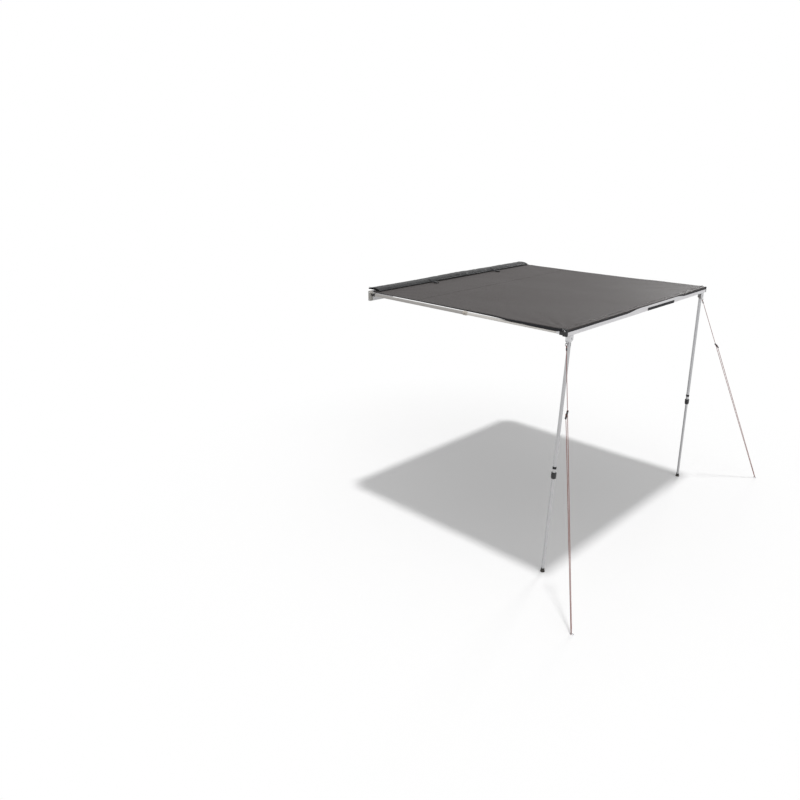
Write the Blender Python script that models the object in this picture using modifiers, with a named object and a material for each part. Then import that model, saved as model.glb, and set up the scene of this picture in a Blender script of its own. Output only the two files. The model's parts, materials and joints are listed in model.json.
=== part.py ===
"""Side awning for a vehicle's roof rack, standing open, as separate pieces.

The origin is the centre of the backboard's rear face, which bolts to the rack.
+X runs along the backboard to the vehicle's front, +Y points away from the
vehicle and +Z is up. Everything is in metres.

The backboard carries two telescopic arms that swing on upright pins, and the
outer rail carries two telescopic legs that fold up under it. The canopy is
stretched between backboard and rail, and two guy ropes hold the rail down.
"""

import math

import bmesh
import bpy
from mathutils import Matrix, Vector

# Overall layout
BOARD_LENGTH = 2.44
REACH = 2.10
STAND_HEIGHT = 1.977
ARM_LEVEL = 0.015
FIT_GAP = 0.0003
RUNNING_GAP = 0.0006
JOIN_LAP = 0.002
OVERSHOOT = 0.010

# Backboard extrusion
BOARD_DEPTH = 0.030
BOARD_HEIGHT = 0.090
BOARD_WALL = 0.0025
SLOT_SPACING = 0.050
SLOT_MOUTH = 0.009
SLOT_WIDTH = 0.0165
SLOT_DEPTH = 0.0070
SLOT_LIP = 0.0028
CHAMBER_RIB = 0.0025
BOARD_CORNER = 0.0025

# Keder grooves and the beads that slide into them
GROOVE_RADIUS = 0.0032
GROOVE_MOUTH = 0.0030
GROOVE_INSET = 0.0052
BEAD_RADIUS = 0.0027
BEAD_NECK = 0.0018
CANOPY_GROOVE_DROP = 0.009
BAG_GROOVE_BACK = 0.010

# Rack bolts in the backboard's rear slots
BOLT_SPREAD = 1.60
BOLT_RADIUS = 0.004
BOLT_LENGTH = 0.032
BOLT_HEAD_SIDE = 0.0145
BOLT_HEAD_THICK = 0.0050
BOLT_CHAMFER = 0.0008
NUT_ACROSS_FLATS = 0.013
NUT_THICK = 0.0068
RACK_PLATE_ROOM = 0.008

# End brackets of the backboard, with the arm clevis
BRACKET_LENGTH = 0.0297
BRACKET_CHAMFER = 0.006
LOWER_GUSSET = 0.010
EAR_THICK = 0.0040
EAR_RADIUS = 0.0150
ARM_PIVOT_INSET = 0.0180
SPIGOT_LENGTH = 0.035
PIN_RADIUS = 0.0040
PIN_HEAD_RADIUS = 0.0078
PIN_HEAD_THICK = 0.0028

# Outer rail
RAIL_DEPTH = 0.036
RAIL_TOP = 0.049
RAIL_BOTTOM = -0.005
RAIL_WALL = 0.0020
RAIL_CORNER = 0.0050
RAIL_GROOVE_OUT = 0.008
RAIL_CAP_THICK = 0.0147
RAIL_EDGE = 0.0010
RAIL_TOP_CORNER = 0.0020
RAIL_HOLLOW_CUT = 0.004
RAIL_SPIGOT_LENGTH = 0.030

# Jaw on the rail cap that takes the arm's tongue
JAW_DEPTH = 0.034
JAW_PLATE = 0.0040
JAW_WIDTH = 0.037
JAW_WALL = 0.0045
TONGUE_THICK = 0.0180
TONGUE_WIDTH = 0.0200
TONGUE_PLAY = 0.0005
TONGUE_END_PLAY = 0.0010
TONGUE_BEVEL = 0.006
JAW_LAP = 0.0004
JAW_CORNER = 0.010

# Tubes of arms and legs
TUBE_RADIUS = 0.0140
TUBE_WALL = 0.0015
INNER_TUBE_RADIUS = 0.0119
INNER_TUBE_WALL = 0.0014
KNUCKLE_EYE_RADIUS = 0.0130
KNUCKLE_THICK = 0.0240
TUBE_START = 0.0290
KNUCKLE_SPIGOT = 0.0320
SPIGOT_LEAD = 0.0010
COLLAR_LENGTH = 0.0050
COLLAR_CHAMFER = 0.0020

# Arms
ARM_TUBE_END = 1.085
ARM_OVERLAP = 0.175
ARM_LOCK_RADIUS = 0.0175
ARM_LOCK_LENGTH = 0.042
ARM_LOCK_FLUTES = 8
TIP_SHOULDER = 0.016
TIP_SPIGOT = 0.030

# Legs
LEG_PIVOT_INSET = 0.075
LEG_SPLAY_DEG = 3.0
LEG_TUBE_END = 1.100
LEG_OVERLAP = 0.160
LEG_LOCK_RADIUS = 0.0210
LEG_LOCK_LENGTH = 0.052
LEG_LOCK_FLUTES = 10
FLUTE_SHARE = 0.11
FLUTE_RAMP = 0.0015
STEPS_PER_FLUTE = 3
LEG_CLEARANCE = 0.0040
FOOT_RADIUS = 0.0190
FOOT_HEIGHT = 0.030
FOOT_SOLE = 0.0060
FOOT_SOCKET = 0.020
FOOT_SKIRT = 0.0022

# Leg bracket under each rail end
CHEEK_GAP = 0.0008
CHEEK_THICK = 0.0030
BRACKET_TOP = 0.0030
BRACKET_WEB = 0.0040
BRACKET_DROP = 0.052
BRACKET_NOSE = 0.022
BRACKET_INBOARD = 0.022
BRACKET_END_INSET = 0.045
LUG_THICK = 0.0030
LUG_RADIUS = 0.0090
LUG_GUSSET = 0.006
LUG_REACH = 0.011
LUG_RISE = -0.003
LUG_HOLE = 0.0038

# Canopy
CANOPY_THICK = 0.0012
CANOPY_INSET = 0.035
CANOPY_SAG = 0.002
CANOPY_LIFT_POWER = 2.5
CANOPY_EDGE_CURVE = 0.020
CANOPY_LAP = 0.0020
CANOPY_SIDE_ROOM = 0.0020
CANOPY_STEPS_X = 24
CANOPY_STEPS_Y = 16
HEM_THICK = 0.0016
HEM_FLAP = 0.027
HEM_GAP = 0.0005
HEM_EDGE = 0.0010

# Cover bag, opened and laid back on top of the backboard
BAG_LENGTH = 2.36
BAG_BACK = -0.072
BAG_FRONT = 0.080
BAG_RISE = 0.020
BAG_WAVE = 0.006
BAG_BASE = 0.0010
BAG_LIP_GAP = 0.0012
BAG_STEP_GAP = 0.0025
BAG_STATIONS = 30
BAG_ROUND_STEPS = 12
ZIP_LIP_DEPTH = 0.008
ZIP_LIP_THICK = 0.0022
ZIP_TAPE_INSET = 0.004
ZIP_TAPE_LAP = 0.020
ZIP_TAPE_RISE = 0.0035
BAG_BEAD_INSET = 0.010
ZIP_START = 0.060
ZIP_SLIDER_LENGTH = 0.024
ZIP_SLIDER_WALL = 0.0015
ZIP_SLIDER_BACK = 0.0040
ZIP_PULL_LENGTH = 0.031
ZIP_PULL_WIDTH = 0.012
ZIP_PULL_CORNER = 0.003
ZIP_PULL_EYE = 0.0025
ZIP_PULL_THICK = 0.0020

# Bag straps and buckles
STRAP_PLACES = (0.45, -0.55)
STRAP_WIDTH = 0.025
STRAP_THICK = 0.0016
STRAP_END = 0.104
BUCKLE_LENGTH = 0.046
BUCKLE_WIDTH = 0.033
BUCKLE_THICK = 0.010
BUCKLE_BAR_DEPTH = 0.0040
BUCKLE_BAR_HEIGHT = 0.0034
STRAP_GAP = 0.0004
STRAP_STAND_OFF = 0.0022
STRAP_FOLD = 0.0012
STRAP_TAIL = 0.010
BUCKLE_NOTCH = 0.004
BUCKLE_NOSE = 0.010
BUCKLE_SKIN = 0.0020
BUCKLE_SIDE_WALL = 0.0040
BUCKLE_MOUTH_DEPTH = 0.026
BUCKLE_WINDOW = 0.010
BUCKLE_WINDOW_INSET = 0.011
BUCKLE_SLOT_PLAY = 0.0010

# Tie strap along the rail's outer face
TIE_START = -0.03
TIE_LENGTH = 0.51
TIE_WIDTH = 0.024
TIE_DROP = 0.010
TIE_CORNER = 0.004
TIE_THICK = 0.0020
TIE_BELLY = 0.002

# Guy ropes
ROPE_RADIUS = 0.0020
ROPE_TAIL = 0.004
ROPE_EYE_LENGTH = 0.009
ROPE_EYE_SPREAD = 0.0039
PEG_OUT = 0.569
PEG_AWAY = 0.600
PEG_RISE = 0.011
RING_RADIUS = 0.0100
RING_WIRE = 0.0020
RING_TILT_ROOM = 0.0011
STRAND_OFFSET = 0.0024
FERRULE_START = 0.016
FERRULE_LENGTH = 0.018
FERRULE_WALL = 0.0016
SLIDER_SHARE = 0.235
SLIDER_LENGTH = 0.078
SLIDER_WIDTH = 0.0130
SLIDER_THICK = 0.0080
SLIDER_HOLE = 0.0028
SLIDER_HOLE_SPAN = 0.050
SLIDER_TILT_DEG = 30.0
KNOT_LIFT = 0.019
KNOT_RADIUS = 0.0042
PEG_WIRE = 0.0030
PEG_ARM = 0.011
PEG_LENGTH = 0.200
PEG_HOOK = 0.018
PEG_BEND = 0.006
PEG_LEAN_DEG = 50.0

# Worked out from the sizes above
HALF_BOARD = BOARD_LENGTH / 2
END_X = HALF_BOARD + FIT_GAP + BRACKET_LENGTH
ARM_X = END_X - ARM_PIVOT_INSET
ARM_PIVOT_Y = BOARD_DEPTH + ARM_LOCK_RADIUS + 0.0045
RAIL_Y = REACH - RAIL_DEPTH / 2
RAIL_INNER_Y = RAIL_Y - RAIL_DEPTH / 2
HALF_RAIL = END_X - RAIL_CAP_THICK - FIT_GAP
ARM_LENGTH = RAIL_INNER_Y - FIT_GAP - TONGUE_END_PLAY - ARM_PIVOT_Y
LEG_PIVOT_X = END_X - LEG_PIVOT_INSET
LEG_PIVOT_Z = RAIL_BOTTOM - LEG_LOCK_RADIUS - LEG_CLEARANCE
LEG_SPLAY = math.radians(LEG_SPLAY_DEG)
LEG_LENGTH = (STAND_HEIGHT + LEG_PIVOT_Z - FOOT_RADIUS * math.sin(LEG_SPLAY)) / math.cos(LEG_SPLAY)
TONGUE_LENGTH = JAW_DEPTH + 0.006
CANOPY_START_Y = BOARD_DEPTH + 0.0016
CANOPY_END_Y = RAIL_INNER_Y + CANOPY_LAP
CANOPY_BOARD_Z = BOARD_HEIGHT / 2 - CANOPY_GROOVE_DROP
CANOPY_RAIL_Z = RAIL_TOP + FIT_GAP + CANOPY_THICK / 2

# Colours, roughness and metallic value of each material
LOOKS = {
    "alloy": ((0.62, 0.61, 0.60), 0.38, 0.9),
    "warm_alloy": ((0.60, 0.56, 0.50), 0.42, 0.85),
    "white_alloy": ((0.78, 0.77, 0.80), 0.40, 0.3),
    "steel": ((0.50, 0.50, 0.51), 0.35, 1.0),
    "black_plastic": ((0.02, 0.02, 0.022), 0.50, 0.0),
    "grey_plastic": ((0.36, 0.35, 0.34), 0.50, 0.0),
    "rubber": ((0.025, 0.025, 0.027), 0.80, 0.0),
    "canopy_cloth": ((0.135, 0.125, 0.120), 0.85, 0.0),
    "hem_cloth": ((0.035, 0.036, 0.042), 0.85, 0.0),
    "bag_vinyl": ((0.062, 0.064, 0.055), 0.60, 0.0),
    "webbing": ((0.022, 0.022, 0.025), 0.90, 0.0),
    "guy_rope": ((0.62, 0.40, 0.34), 0.80, 0.0),
}

UP = Vector((0, 0, 1))
OUT = Vector((0, 1, 0))


def make_collection(name):
    """Return a new collection linked to the scene."""
    made = bpy.data.collections.new(name)
    bpy.context.scene.collection.children.link(made)
    return made


def make_material(name):
    """Make one Principled material from its entry in LOOKS."""
    colour, roughness, metallic = LOOKS[name]
    made = bpy.data.materials.new(name)
    made.use_nodes = True
    shader = made.node_tree.nodes["Principled BSDF"]
    shader.inputs["Base Color"].default_value = (*colour, 1.0)
    shader.inputs["Roughness"].default_value = roughness
    shader.inputs["Metallic"].default_value = metallic
    made.diffuse_color = (*colour, 1.0)
    return made


def start_scene():
    """Remove the scene's objects and make the two collections and the materials."""
    for old in list(bpy.data.objects):
        bpy.data.objects.remove(old, do_unlink=True)
    global PARTS, CUTTERS, MATERIALS
    PARTS = make_collection("side_awning")
    CUTTERS = make_collection("cutters")
    MATERIALS = {name: make_material(name) for name in LOOKS}


def frame_of(origin, x_axis, z_axis):
    """A frame at origin whose local X and Z lie along the two given directions."""
    x_dir = Vector(x_axis).normalized()
    z_dir = (Vector(z_axis) - x_dir * Vector(z_axis).dot(x_dir)).normalized()
    y_dir = z_dir.cross(x_dir)
    turn = Matrix((x_dir, y_dir, z_dir)).transposed().to_4x4()
    return Matrix.Translation(Vector(origin)) @ turn


def evaluated_mesh(obj):
    """A plain mesh of the object as its modifiers leave it."""
    graph = bpy.context.evaluated_depsgraph_get()
    graph.update()
    return bpy.data.meshes.new_from_object(obj.evaluated_get(graph))


def weld(mesh, distance=0.00001):
    """Weld loose caps and turn the faces outwards."""
    work = bmesh.new()
    work.from_mesh(mesh)
    bmesh.ops.remove_doubles(work, verts=work.verts, dist=distance)
    bmesh.ops.recalc_face_normals(work, faces=work.faces)
    work.to_mesh(mesh)
    work.free()
    return mesh


def baked(obj):
    """Replace an object by the mesh that its modifiers and placing give."""
    mesh = weld(evaluated_mesh(obj))
    mesh.transform(obj.matrix_world)
    bpy.data.objects.remove(obj, do_unlink=True)
    return mesh


def scratch_object(data, frame=None):
    """Link data as a temporary object that is baked or removed before the end."""
    obj = bpy.data.objects.new("scratch", data)
    CUTTERS.objects.link(obj)
    if frame is not None:
        obj.matrix_world = frame
    bpy.context.view_layer.update()
    return obj


def extruded(outlines, length, frame=None):
    """Extrude flat outlines (the first one outside, the rest holes) along local Z.

    The solid runs from local z = 0 to z = length.
    """
    curve = bpy.data.curves.new("outline", "CURVE")
    curve.dimensions = "2D"
    curve.fill_mode = "BOTH"
    curve.extrude = length / 2
    for outline in outlines:
        spline = curve.splines.new("POLY")
        spline.points.add(len(outline) - 1)
        for point, (x, y) in zip(spline.points, outline):
            point.co = (x, y, 0, 1)
        spline.use_cyclic_u = True
    raise_up = Matrix.Translation((0, 0, length / 2))
    frame = Matrix.Identity(4) if frame is None else frame
    return baked(scratch_object(curve, frame @ raise_up))


def turned(profile, steps, frame=None, closed=False):
    """Turn a profile of (radius, height) points about local Z.

    An open profile starts and ends on the axis. A closed one is a ring's wall.
    """
    mesh = bpy.data.meshes.new("profile")
    count = len(profile)
    edges = [(i, i + 1) for i in range(count - 1)]
    if closed:
        edges.append((count - 1, 0))
    mesh.from_pydata([(radius, 0, height) for radius, height in profile], edges, [])
    obj = scratch_object(mesh, frame)
    screw = obj.modifiers.new("turn", "SCREW")
    screw.axis = "Z"
    screw.angle = math.tau
    screw.steps = steps
    screw.render_steps = steps
    screw.use_merge_vertices = True
    screw.merge_threshold = 0.00001
    return baked(obj)


def block(low, high, frame=None):
    """A box between two corners."""
    outline = [(low[0], low[1]), (high[0], low[1]), (high[0], high[1]), (low[0], high[1])]
    lift = Matrix.Translation((0, 0, low[2]))
    frame = lift if frame is None else frame @ lift
    return extruded([outline], high[2] - low[2], frame)


def combined(base, tools, operation):
    """Union, cut or intersect a mesh with other meshes, one after another."""
    obj = scratch_object(base)
    helpers = []
    for tool in tools:
        helper = scratch_object(tool)
        helper.hide_render = True
        helper.display_type = "WIRE"
        helpers.append(helper)
        step = obj.modifiers.new("shape", "BOOLEAN")
        step.operation = operation
        step.object = helper
        step.solver = "EXACT"
    mesh = baked(obj)
    for helper in helpers:
        bpy.data.objects.remove(helper, do_unlink=True)
    return mesh


def add_part(name, mesh, look, origin=None, smooth_deg=35):
    """Link a finished mesh as one named piece, with its origin at origin."""
    mesh.name = name
    mesh.materials.clear()
    mesh.materials.append(MATERIALS[look])
    obj = bpy.data.objects.new(name, mesh)
    PARTS.objects.link(obj)
    if origin is not None:
        mesh.transform(Matrix.Translation(-Vector(origin)))
        obj.location = origin
    if smooth_deg:
        mesh.shade_smooth()
        mesh.set_sharp_from_angle(angle=math.radians(smooth_deg))
    return obj


def arc_points(centre, radius, start_deg, end_deg, steps):
    """Points along an arc, ends included."""
    points = []
    for step in range(steps + 1):
        angle = math.radians(start_deg + (end_deg - start_deg) * step / steps)
        points.append((centre[0] + radius * math.cos(angle), centre[1] + radius * math.sin(angle)))
    return points


def circle_outline(radius, steps, start_deg=0.0):
    """A round outline about the origin."""
    return arc_points((0, 0), radius, start_deg, start_deg + 360, steps)[:-1]


def groove_points(centre, mouth_deg):
    """The wall of a keder groove, from one lip of its mouth round to the other."""
    half_angle = math.degrees(math.asin(GROOVE_MOUTH / 2 / GROOVE_RADIUS))
    return arc_points(centre, GROOVE_RADIUS, mouth_deg + half_angle, mouth_deg + 360 - half_angle, 8)


def along_x_frame(start_x):
    """Local X is world Y, local Y is world Z and local Z is world X."""
    return Matrix(((0, 0, 1, start_x), (1, 0, 0, 0), (0, 1, 0, 0), (0, 0, 0, 1)))


def along_y_frame(start_y):
    """Local X is world X, local Y is world Z and local Z is world -Y."""
    return Matrix(((1, 0, 0, 0), (0, 0, -1, start_y), (0, 1, 0, 0), (0, 0, 0, 1)))


def slot_points(centre_z):
    """One T-slot in the backboard's rear face, walked upwards."""
    mouth = SLOT_MOUTH / 2
    half = SLOT_WIDTH / 2
    floor = SLOT_LIP + SLOT_DEPTH
    return [
        (0, centre_z - mouth), (SLOT_LIP, centre_z - mouth), (SLOT_LIP, centre_z - half),
        (floor, centre_z - half), (floor, centre_z + half), (SLOT_LIP, centre_z + half),
        (SLOT_LIP, centre_z + mouth), (0, centre_z + mouth),
    ]


def board_outlines():
    """The backboard's section in (y, z): its outside, then its two chambers."""
    half = BOARD_HEIGHT / 2
    mouth = GROOVE_MOUTH / 2
    bag_centre = (BAG_GROOVE_BACK, half - GROOVE_INSET)
    canopy_centre = (BOARD_DEPTH - GROOVE_INSET, half - CANOPY_GROOVE_DROP)
    outside = [(0, -half)]
    outside += slot_points(-SLOT_SPACING / 2)
    outside += slot_points(SLOT_SPACING / 2 - CANOPY_GROOVE_DROP)
    outside += [(0, half), (bag_centre[0] - mouth, half)]
    outside += groove_points(bag_centre, 90)
    outside += [(bag_centre[0] + mouth, half)]
    outside += arc_points((BOARD_DEPTH - BOARD_CORNER, half - BOARD_CORNER), BOARD_CORNER, 90, 0, 3)
    outside += [(BOARD_DEPTH, canopy_centre[1] + mouth)]
    outside += groove_points(canopy_centre, 0)
    outside += [(BOARD_DEPTH, canopy_centre[1] - mouth)]
    outside += arc_points((BOARD_DEPTH - BOARD_CORNER, BOARD_CORNER - half), BOARD_CORNER, 0, -90, 3)
    return [outside] + [chamber_outline(low, high) for low, high in chamber_spans()]


def chamber_spans():
    """Low and high z of the backboard's two hollow chambers."""
    low = -BOARD_HEIGHT / 2 + BOARD_WALL
    high = BOARD_HEIGHT / 2 - CANOPY_GROOVE_DROP - GROOVE_RADIUS - BOARD_WALL
    middle = (low + high) / 2
    return [(low, middle - CHAMBER_RIB / 2), (middle + CHAMBER_RIB / 2, high)]


def chamber_outline(low, high, margin=0.0):
    """A chamber's section in (y, z), or with a margin the spigot that fits it."""
    back = SLOT_LIP + SLOT_DEPTH + BOARD_WALL + margin
    front = BOARD_DEPTH - BOARD_WALL - margin
    return [(back, low + margin), (front, low + margin), (front, high - margin), (back, high - margin)]


def build_backboard():
    """The hollow backboard with two T-slots behind and two keder grooves."""
    mesh = extruded(board_outlines(), BOARD_LENGTH, along_x_frame(-HALF_BOARD))
    add_part("backboard", mesh, "alloy")


def build_rack_bolts():
    """Four square-headed bolts in the T-slots, each with a hexagon nut."""
    places = [(side * BOLT_SPREAD / 2, height)
              for side in (1, -1)
              for height in (-SLOT_SPACING / 2, SLOT_SPACING / 2 - CANOPY_GROOVE_DROP)]
    half = BOLT_HEAD_SIDE / 2
    head_front = SLOT_LIP + SLOT_DEPTH - FIT_GAP
    head_back = head_front - BOLT_HEAD_THICK
    for number, (x, z) in enumerate(places, 1):
        head = block((x - half, head_back, z - half), (x + half, head_front, z + half))
        shank_frame = frame_of((x, head_front - JOIN_LAP, z), (1, 0, 0), (0, -1, 0))
        shank = turned([(0, BOLT_LENGTH), (BOLT_RADIUS - BOLT_CHAMFER, BOLT_LENGTH),
                        (BOLT_RADIUS, BOLT_LENGTH - BOLT_CHAMFER), (BOLT_RADIUS, 0), (0, 0)], 12, shank_frame)
        add_part(f"rack_bolt_{number}", combined(head, [shank], "UNION"), "steel")
        nut_frame = frame_of((x, -RACK_PLATE_ROOM, z), (1, 0, 0), (0, -1, 0))
        corner = NUT_ACROSS_FLATS / math.sqrt(3)
        nut = extruded([circle_outline(corner, 6), circle_outline(BOLT_RADIUS + FIT_GAP, 12)],
                       NUT_THICK, nut_frame)
        add_part(f"rack_nut_{number}", nut, "steel")


def clevis_half_gap():
    """From the arms' level to the inner face of a clevis ear."""
    return KNUCKLE_THICK / 2 + RUNNING_GAP


def build_end_bracket(end, side):
    """The casting that closes a backboard end and holds the arm between two ears."""
    half = BOARD_HEIGHT / 2
    ear = clevis_half_gap()
    reach = ARM_PIVOT_Y + EAR_RADIUS
    low, high = ARM_LEVEL - ear, ARM_LEVEL + ear
    side_view = [
        (0, -half), (BOARD_DEPTH - BRACKET_CHAMFER, -half), (BOARD_DEPTH, -half + BRACKET_CHAMFER),
        (BOARD_DEPTH, low - EAR_THICK - LOWER_GUSSET), (BOARD_DEPTH + LOWER_GUSSET, low - EAR_THICK),
        (reach, low - EAR_THICK), (reach, low), (BOARD_DEPTH, low),
        (BOARD_DEPTH, high), (reach, high), (reach, high + EAR_THICK),
        (BOARD_DEPTH + BRACKET_CHAMFER, high + EAR_THICK), (BOARD_DEPTH, high + EAR_THICK + BRACKET_CHAMFER),
        (BOARD_DEPTH, half - BRACKET_CHAMFER), (BOARD_DEPTH - BRACKET_CHAMFER, half), (0, half),
    ]
    start = HALF_BOARD + FIT_GAP
    body = extruded([side_view], BRACKET_LENGTH, along_x_frame(start))
    margin = FIT_GAP
    plan = [(start - margin, -margin), (END_X + margin, -margin), (END_X + margin, BOARD_DEPTH)]
    plan += arc_points((ARM_X, ARM_PIVOT_Y), EAR_RADIUS, 0, 180, 8)
    plan += [(start - margin, BOARD_DEPTH)]
    mask = extruded([plan], BOARD_HEIGHT + 2 * OVERSHOOT, Matrix.Translation((0, 0, -half - OVERSHOOT)))
    body = combined(body, [mask], "INTERSECT")
    spigot_low, spigot_high = chamber_spans()[0]
    spigot = extruded([chamber_outline(spigot_low, spigot_high, FIT_GAP)], SPIGOT_LENGTH + JOIN_LAP,
                      along_x_frame(start - SPIGOT_LENGTH))
    body = combined(body, [spigot], "UNION")
    hole = drill(PIN_RADIUS + FIT_GAP, 2 * (ear + EAR_THICK + OVERSHOOT), 16,
                 Matrix.Translation((ARM_X, ARM_PIVOT_Y, ARM_LEVEL)))
    body = combined(body, [hole], "DIFFERENCE")
    mirror_to_side(body, side)
    add_part(f"{end}_end_bracket", body, "warm_alloy")


def drill(radius, length, steps, frame):
    """A round cutter along the frame's Z axis, centred on its origin."""
    half = length / 2
    return turned([(0, half), (radius, half), (radius, -half), (0, -half)], steps, frame)


def mirror_to_side(mesh, side):
    """Mirror a mesh made for the +X end to the -X end."""
    if side < 0:
        mesh.transform(Matrix.Scale(-1, 4, (1, 0, 0)))
        mesh.flip_normals()


def pivot_pin(length, frame):
    """A pin with a domed head at each end, centred on the frame's origin."""
    half = length / 2 + FIT_GAP
    top = half + PIN_HEAD_THICK
    crown = PIN_HEAD_RADIUS * 0.6
    edge = half + PIN_HEAD_THICK * 0.45
    profile = [
        (0, top), (crown, top), (PIN_HEAD_RADIUS, edge), (PIN_HEAD_RADIUS, half), (PIN_RADIUS, half),
        (PIN_RADIUS, -half), (PIN_HEAD_RADIUS, -half), (PIN_HEAD_RADIUS, -edge), (crown, -top), (0, -top),
    ]
    return turned(profile, 12, frame)


def tube(outer, wall, start, end, frame, steps=16):
    """A plain tube along the frame's X axis."""
    profile = [(outer, end), (outer, start), (outer - wall, start), (outer - wall, end)]
    return turned(profile, steps, frame @ x_to_z(), closed=True)


def x_to_z():
    """Turn a shape made along local Z so that it lies along local X."""
    return Matrix(((0, 0, 1, 0), (1, 0, 0, 0), (0, 1, 0, 0), (0, 0, 0, 1)))


def knuckle(frame):
    """The moulded hinge end of an arm or leg: eye, shoulder and spigot in the tube."""
    eye = arc_points((0, 0), KNUCKLE_EYE_RADIUS, 90, 270, 8)
    shoulder_end = TUBE_START - FIT_GAP
    shoulder_start = shoulder_end - COLLAR_LENGTH - COLLAR_CHAMFER
    cheek_end = shoulder_start + COLLAR_CHAMFER / 2
    tongue = eye + [(cheek_end, -KNUCKLE_EYE_RADIUS), (cheek_end, KNUCKLE_EYE_RADIUS)]
    hole = circle_outline(PIN_RADIUS + FIT_GAP, 16)
    half = KNUCKLE_THICK / 2
    body = extruded([tongue, hole], KNUCKLE_THICK, frame @ Matrix.Translation((0, 0, -half)))
    inner = TUBE_RADIUS - TUBE_WALL - FIT_GAP
    end = TUBE_START + KNUCKLE_SPIGOT
    profile = [
        (0, end), (inner - SPIGOT_LEAD, end), (inner, end - SPIGOT_LEAD), (inner, shoulder_end),
        (TUBE_RADIUS, shoulder_end), (TUBE_RADIUS, shoulder_end - COLLAR_LENGTH),
        (TUBE_RADIUS - COLLAR_CHAMFER, shoulder_start), (0, shoulder_start),
    ]
    plug = turned(profile, 16, frame @ x_to_z())
    return combined(body, [plug], "UNION")


def twist_lock(radius, length, tube_end, flutes, frame):
    """A twist collar: it grips the outer tube, tapers, and closes on the inner tube.

    Its wall is turned about local Z with the outer tube's end at z = 0, and its
    grip band is then drawn in to flutes.
    """
    start = -length * 0.55
    end = start + length
    grip = TUBE_RADIUS + FIT_GAP
    mouth = INNER_TUBE_RADIUS + FIT_GAP
    band_low = start + length * 0.12
    band_high = end - length * 0.30
    neck = radius * 0.90
    profile = [
        (mouth, end), (radius * 0.80, end), (neck, end - length * 0.06), (neck, end - length * 0.22),
        (radius, band_high), (radius, band_high - FLUTE_RAMP), (radius, band_low + FLUTE_RAMP),
        (radius, band_low), (radius * 0.93, start), (grip, start), (grip, FIT_GAP), (mouth, FIT_GAP),
    ]
    collar = turned(profile, STEPS_PER_FLUTE * flutes, closed=True)
    for vertex in collar.vertices:
        on_band = band_low + FLUTE_RAMP / 2 < vertex.co.z < band_high - FLUTE_RAMP / 2
        reach = math.hypot(vertex.co.x, vertex.co.y)
        if on_band and reach > neck:
            angle = math.atan2(vertex.co.y, vertex.co.x)
            drawn_in = 1 - FLUTE_SHARE * (1 + math.cos(flutes * angle)) / 2
            vertex.co.x *= drawn_in
            vertex.co.y *= drawn_in
    collar.transform(frame @ Matrix.Translation((tube_end, 0, 0)) @ x_to_z())
    return collar


def arm_tip(frame):
    """The arm's end plug: spigot in the inner tube, shoulder and flat tongue."""
    shoulder_start = ARM_LENGTH - TONGUE_LENGTH - TIP_SHOULDER
    tongue_start = ARM_LENGTH - TONGUE_LENGTH
    inner = INNER_TUBE_RADIUS - INNER_TUBE_WALL - FIT_GAP
    profile = [
        (0, tongue_start), (TUBE_RADIUS - 2 * COLLAR_CHAMFER, tongue_start),
        (TUBE_RADIUS - SPIGOT_LEAD, tongue_start - 2 * COLLAR_CHAMFER),
        (TUBE_RADIUS - SPIGOT_LEAD, shoulder_start), (inner, shoulder_start),
        (inner, shoulder_start - TIP_SPIGOT), (0, shoulder_start - TIP_SPIGOT),
    ]
    plug = turned(profile, 16, frame @ x_to_z())
    half_width = TONGUE_WIDTH / 2
    nose = TONGUE_BEVEL
    outline = [
        (tongue_start - JOIN_LAP, -half_width), (ARM_LENGTH - nose, -half_width),
        (ARM_LENGTH, -half_width + nose), (ARM_LENGTH, half_width - nose),
        (ARM_LENGTH - nose, half_width), (tongue_start - JOIN_LAP, half_width),
    ]
    tongue = extruded([outline], TONGUE_THICK, frame @ Matrix.Translation((0, 0, -TONGUE_THICK / 2)))
    return combined(plug, [tongue], "UNION")


def build_arm(end, side):
    """One telescopic arm, from its knuckle in the end bracket to its tongue."""
    pivot = (side * ARM_X, ARM_PIVOT_Y, ARM_LEVEL)
    frame = frame_of(pivot, OUT, UP)
    pin = pivot_pin(2 * (clevis_half_gap() + EAR_THICK), frame)
    add_part(f"{end}_arm_pivot_pin", pin, "steel", pivot)
    add_part(f"{end}_arm_knuckle", knuckle(frame), "black_plastic", pivot)
    outer = tube(TUBE_RADIUS, TUBE_WALL, TUBE_START, ARM_TUBE_END, frame)
    add_part(f"{end}_arm_outer_tube", outer, "warm_alloy", pivot)
    lock = twist_lock(ARM_LOCK_RADIUS, ARM_LOCK_LENGTH, ARM_TUBE_END, ARM_LOCK_FLUTES, frame)
    add_part(f"{end}_arm_twist_lock", lock, "grey_plastic", pivot)
    inner_end = ARM_LENGTH - TONGUE_LENGTH - TIP_SHOULDER - FIT_GAP
    inner = tube(INNER_TUBE_RADIUS, INNER_TUBE_WALL, ARM_TUBE_END - ARM_OVERLAP, inner_end, frame)
    add_part(f"{end}_arm_inner_tube", inner, "warm_alloy", pivot)
    add_part(f"{end}_arm_tip", arm_tip(frame), "black_plastic", pivot)


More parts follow.
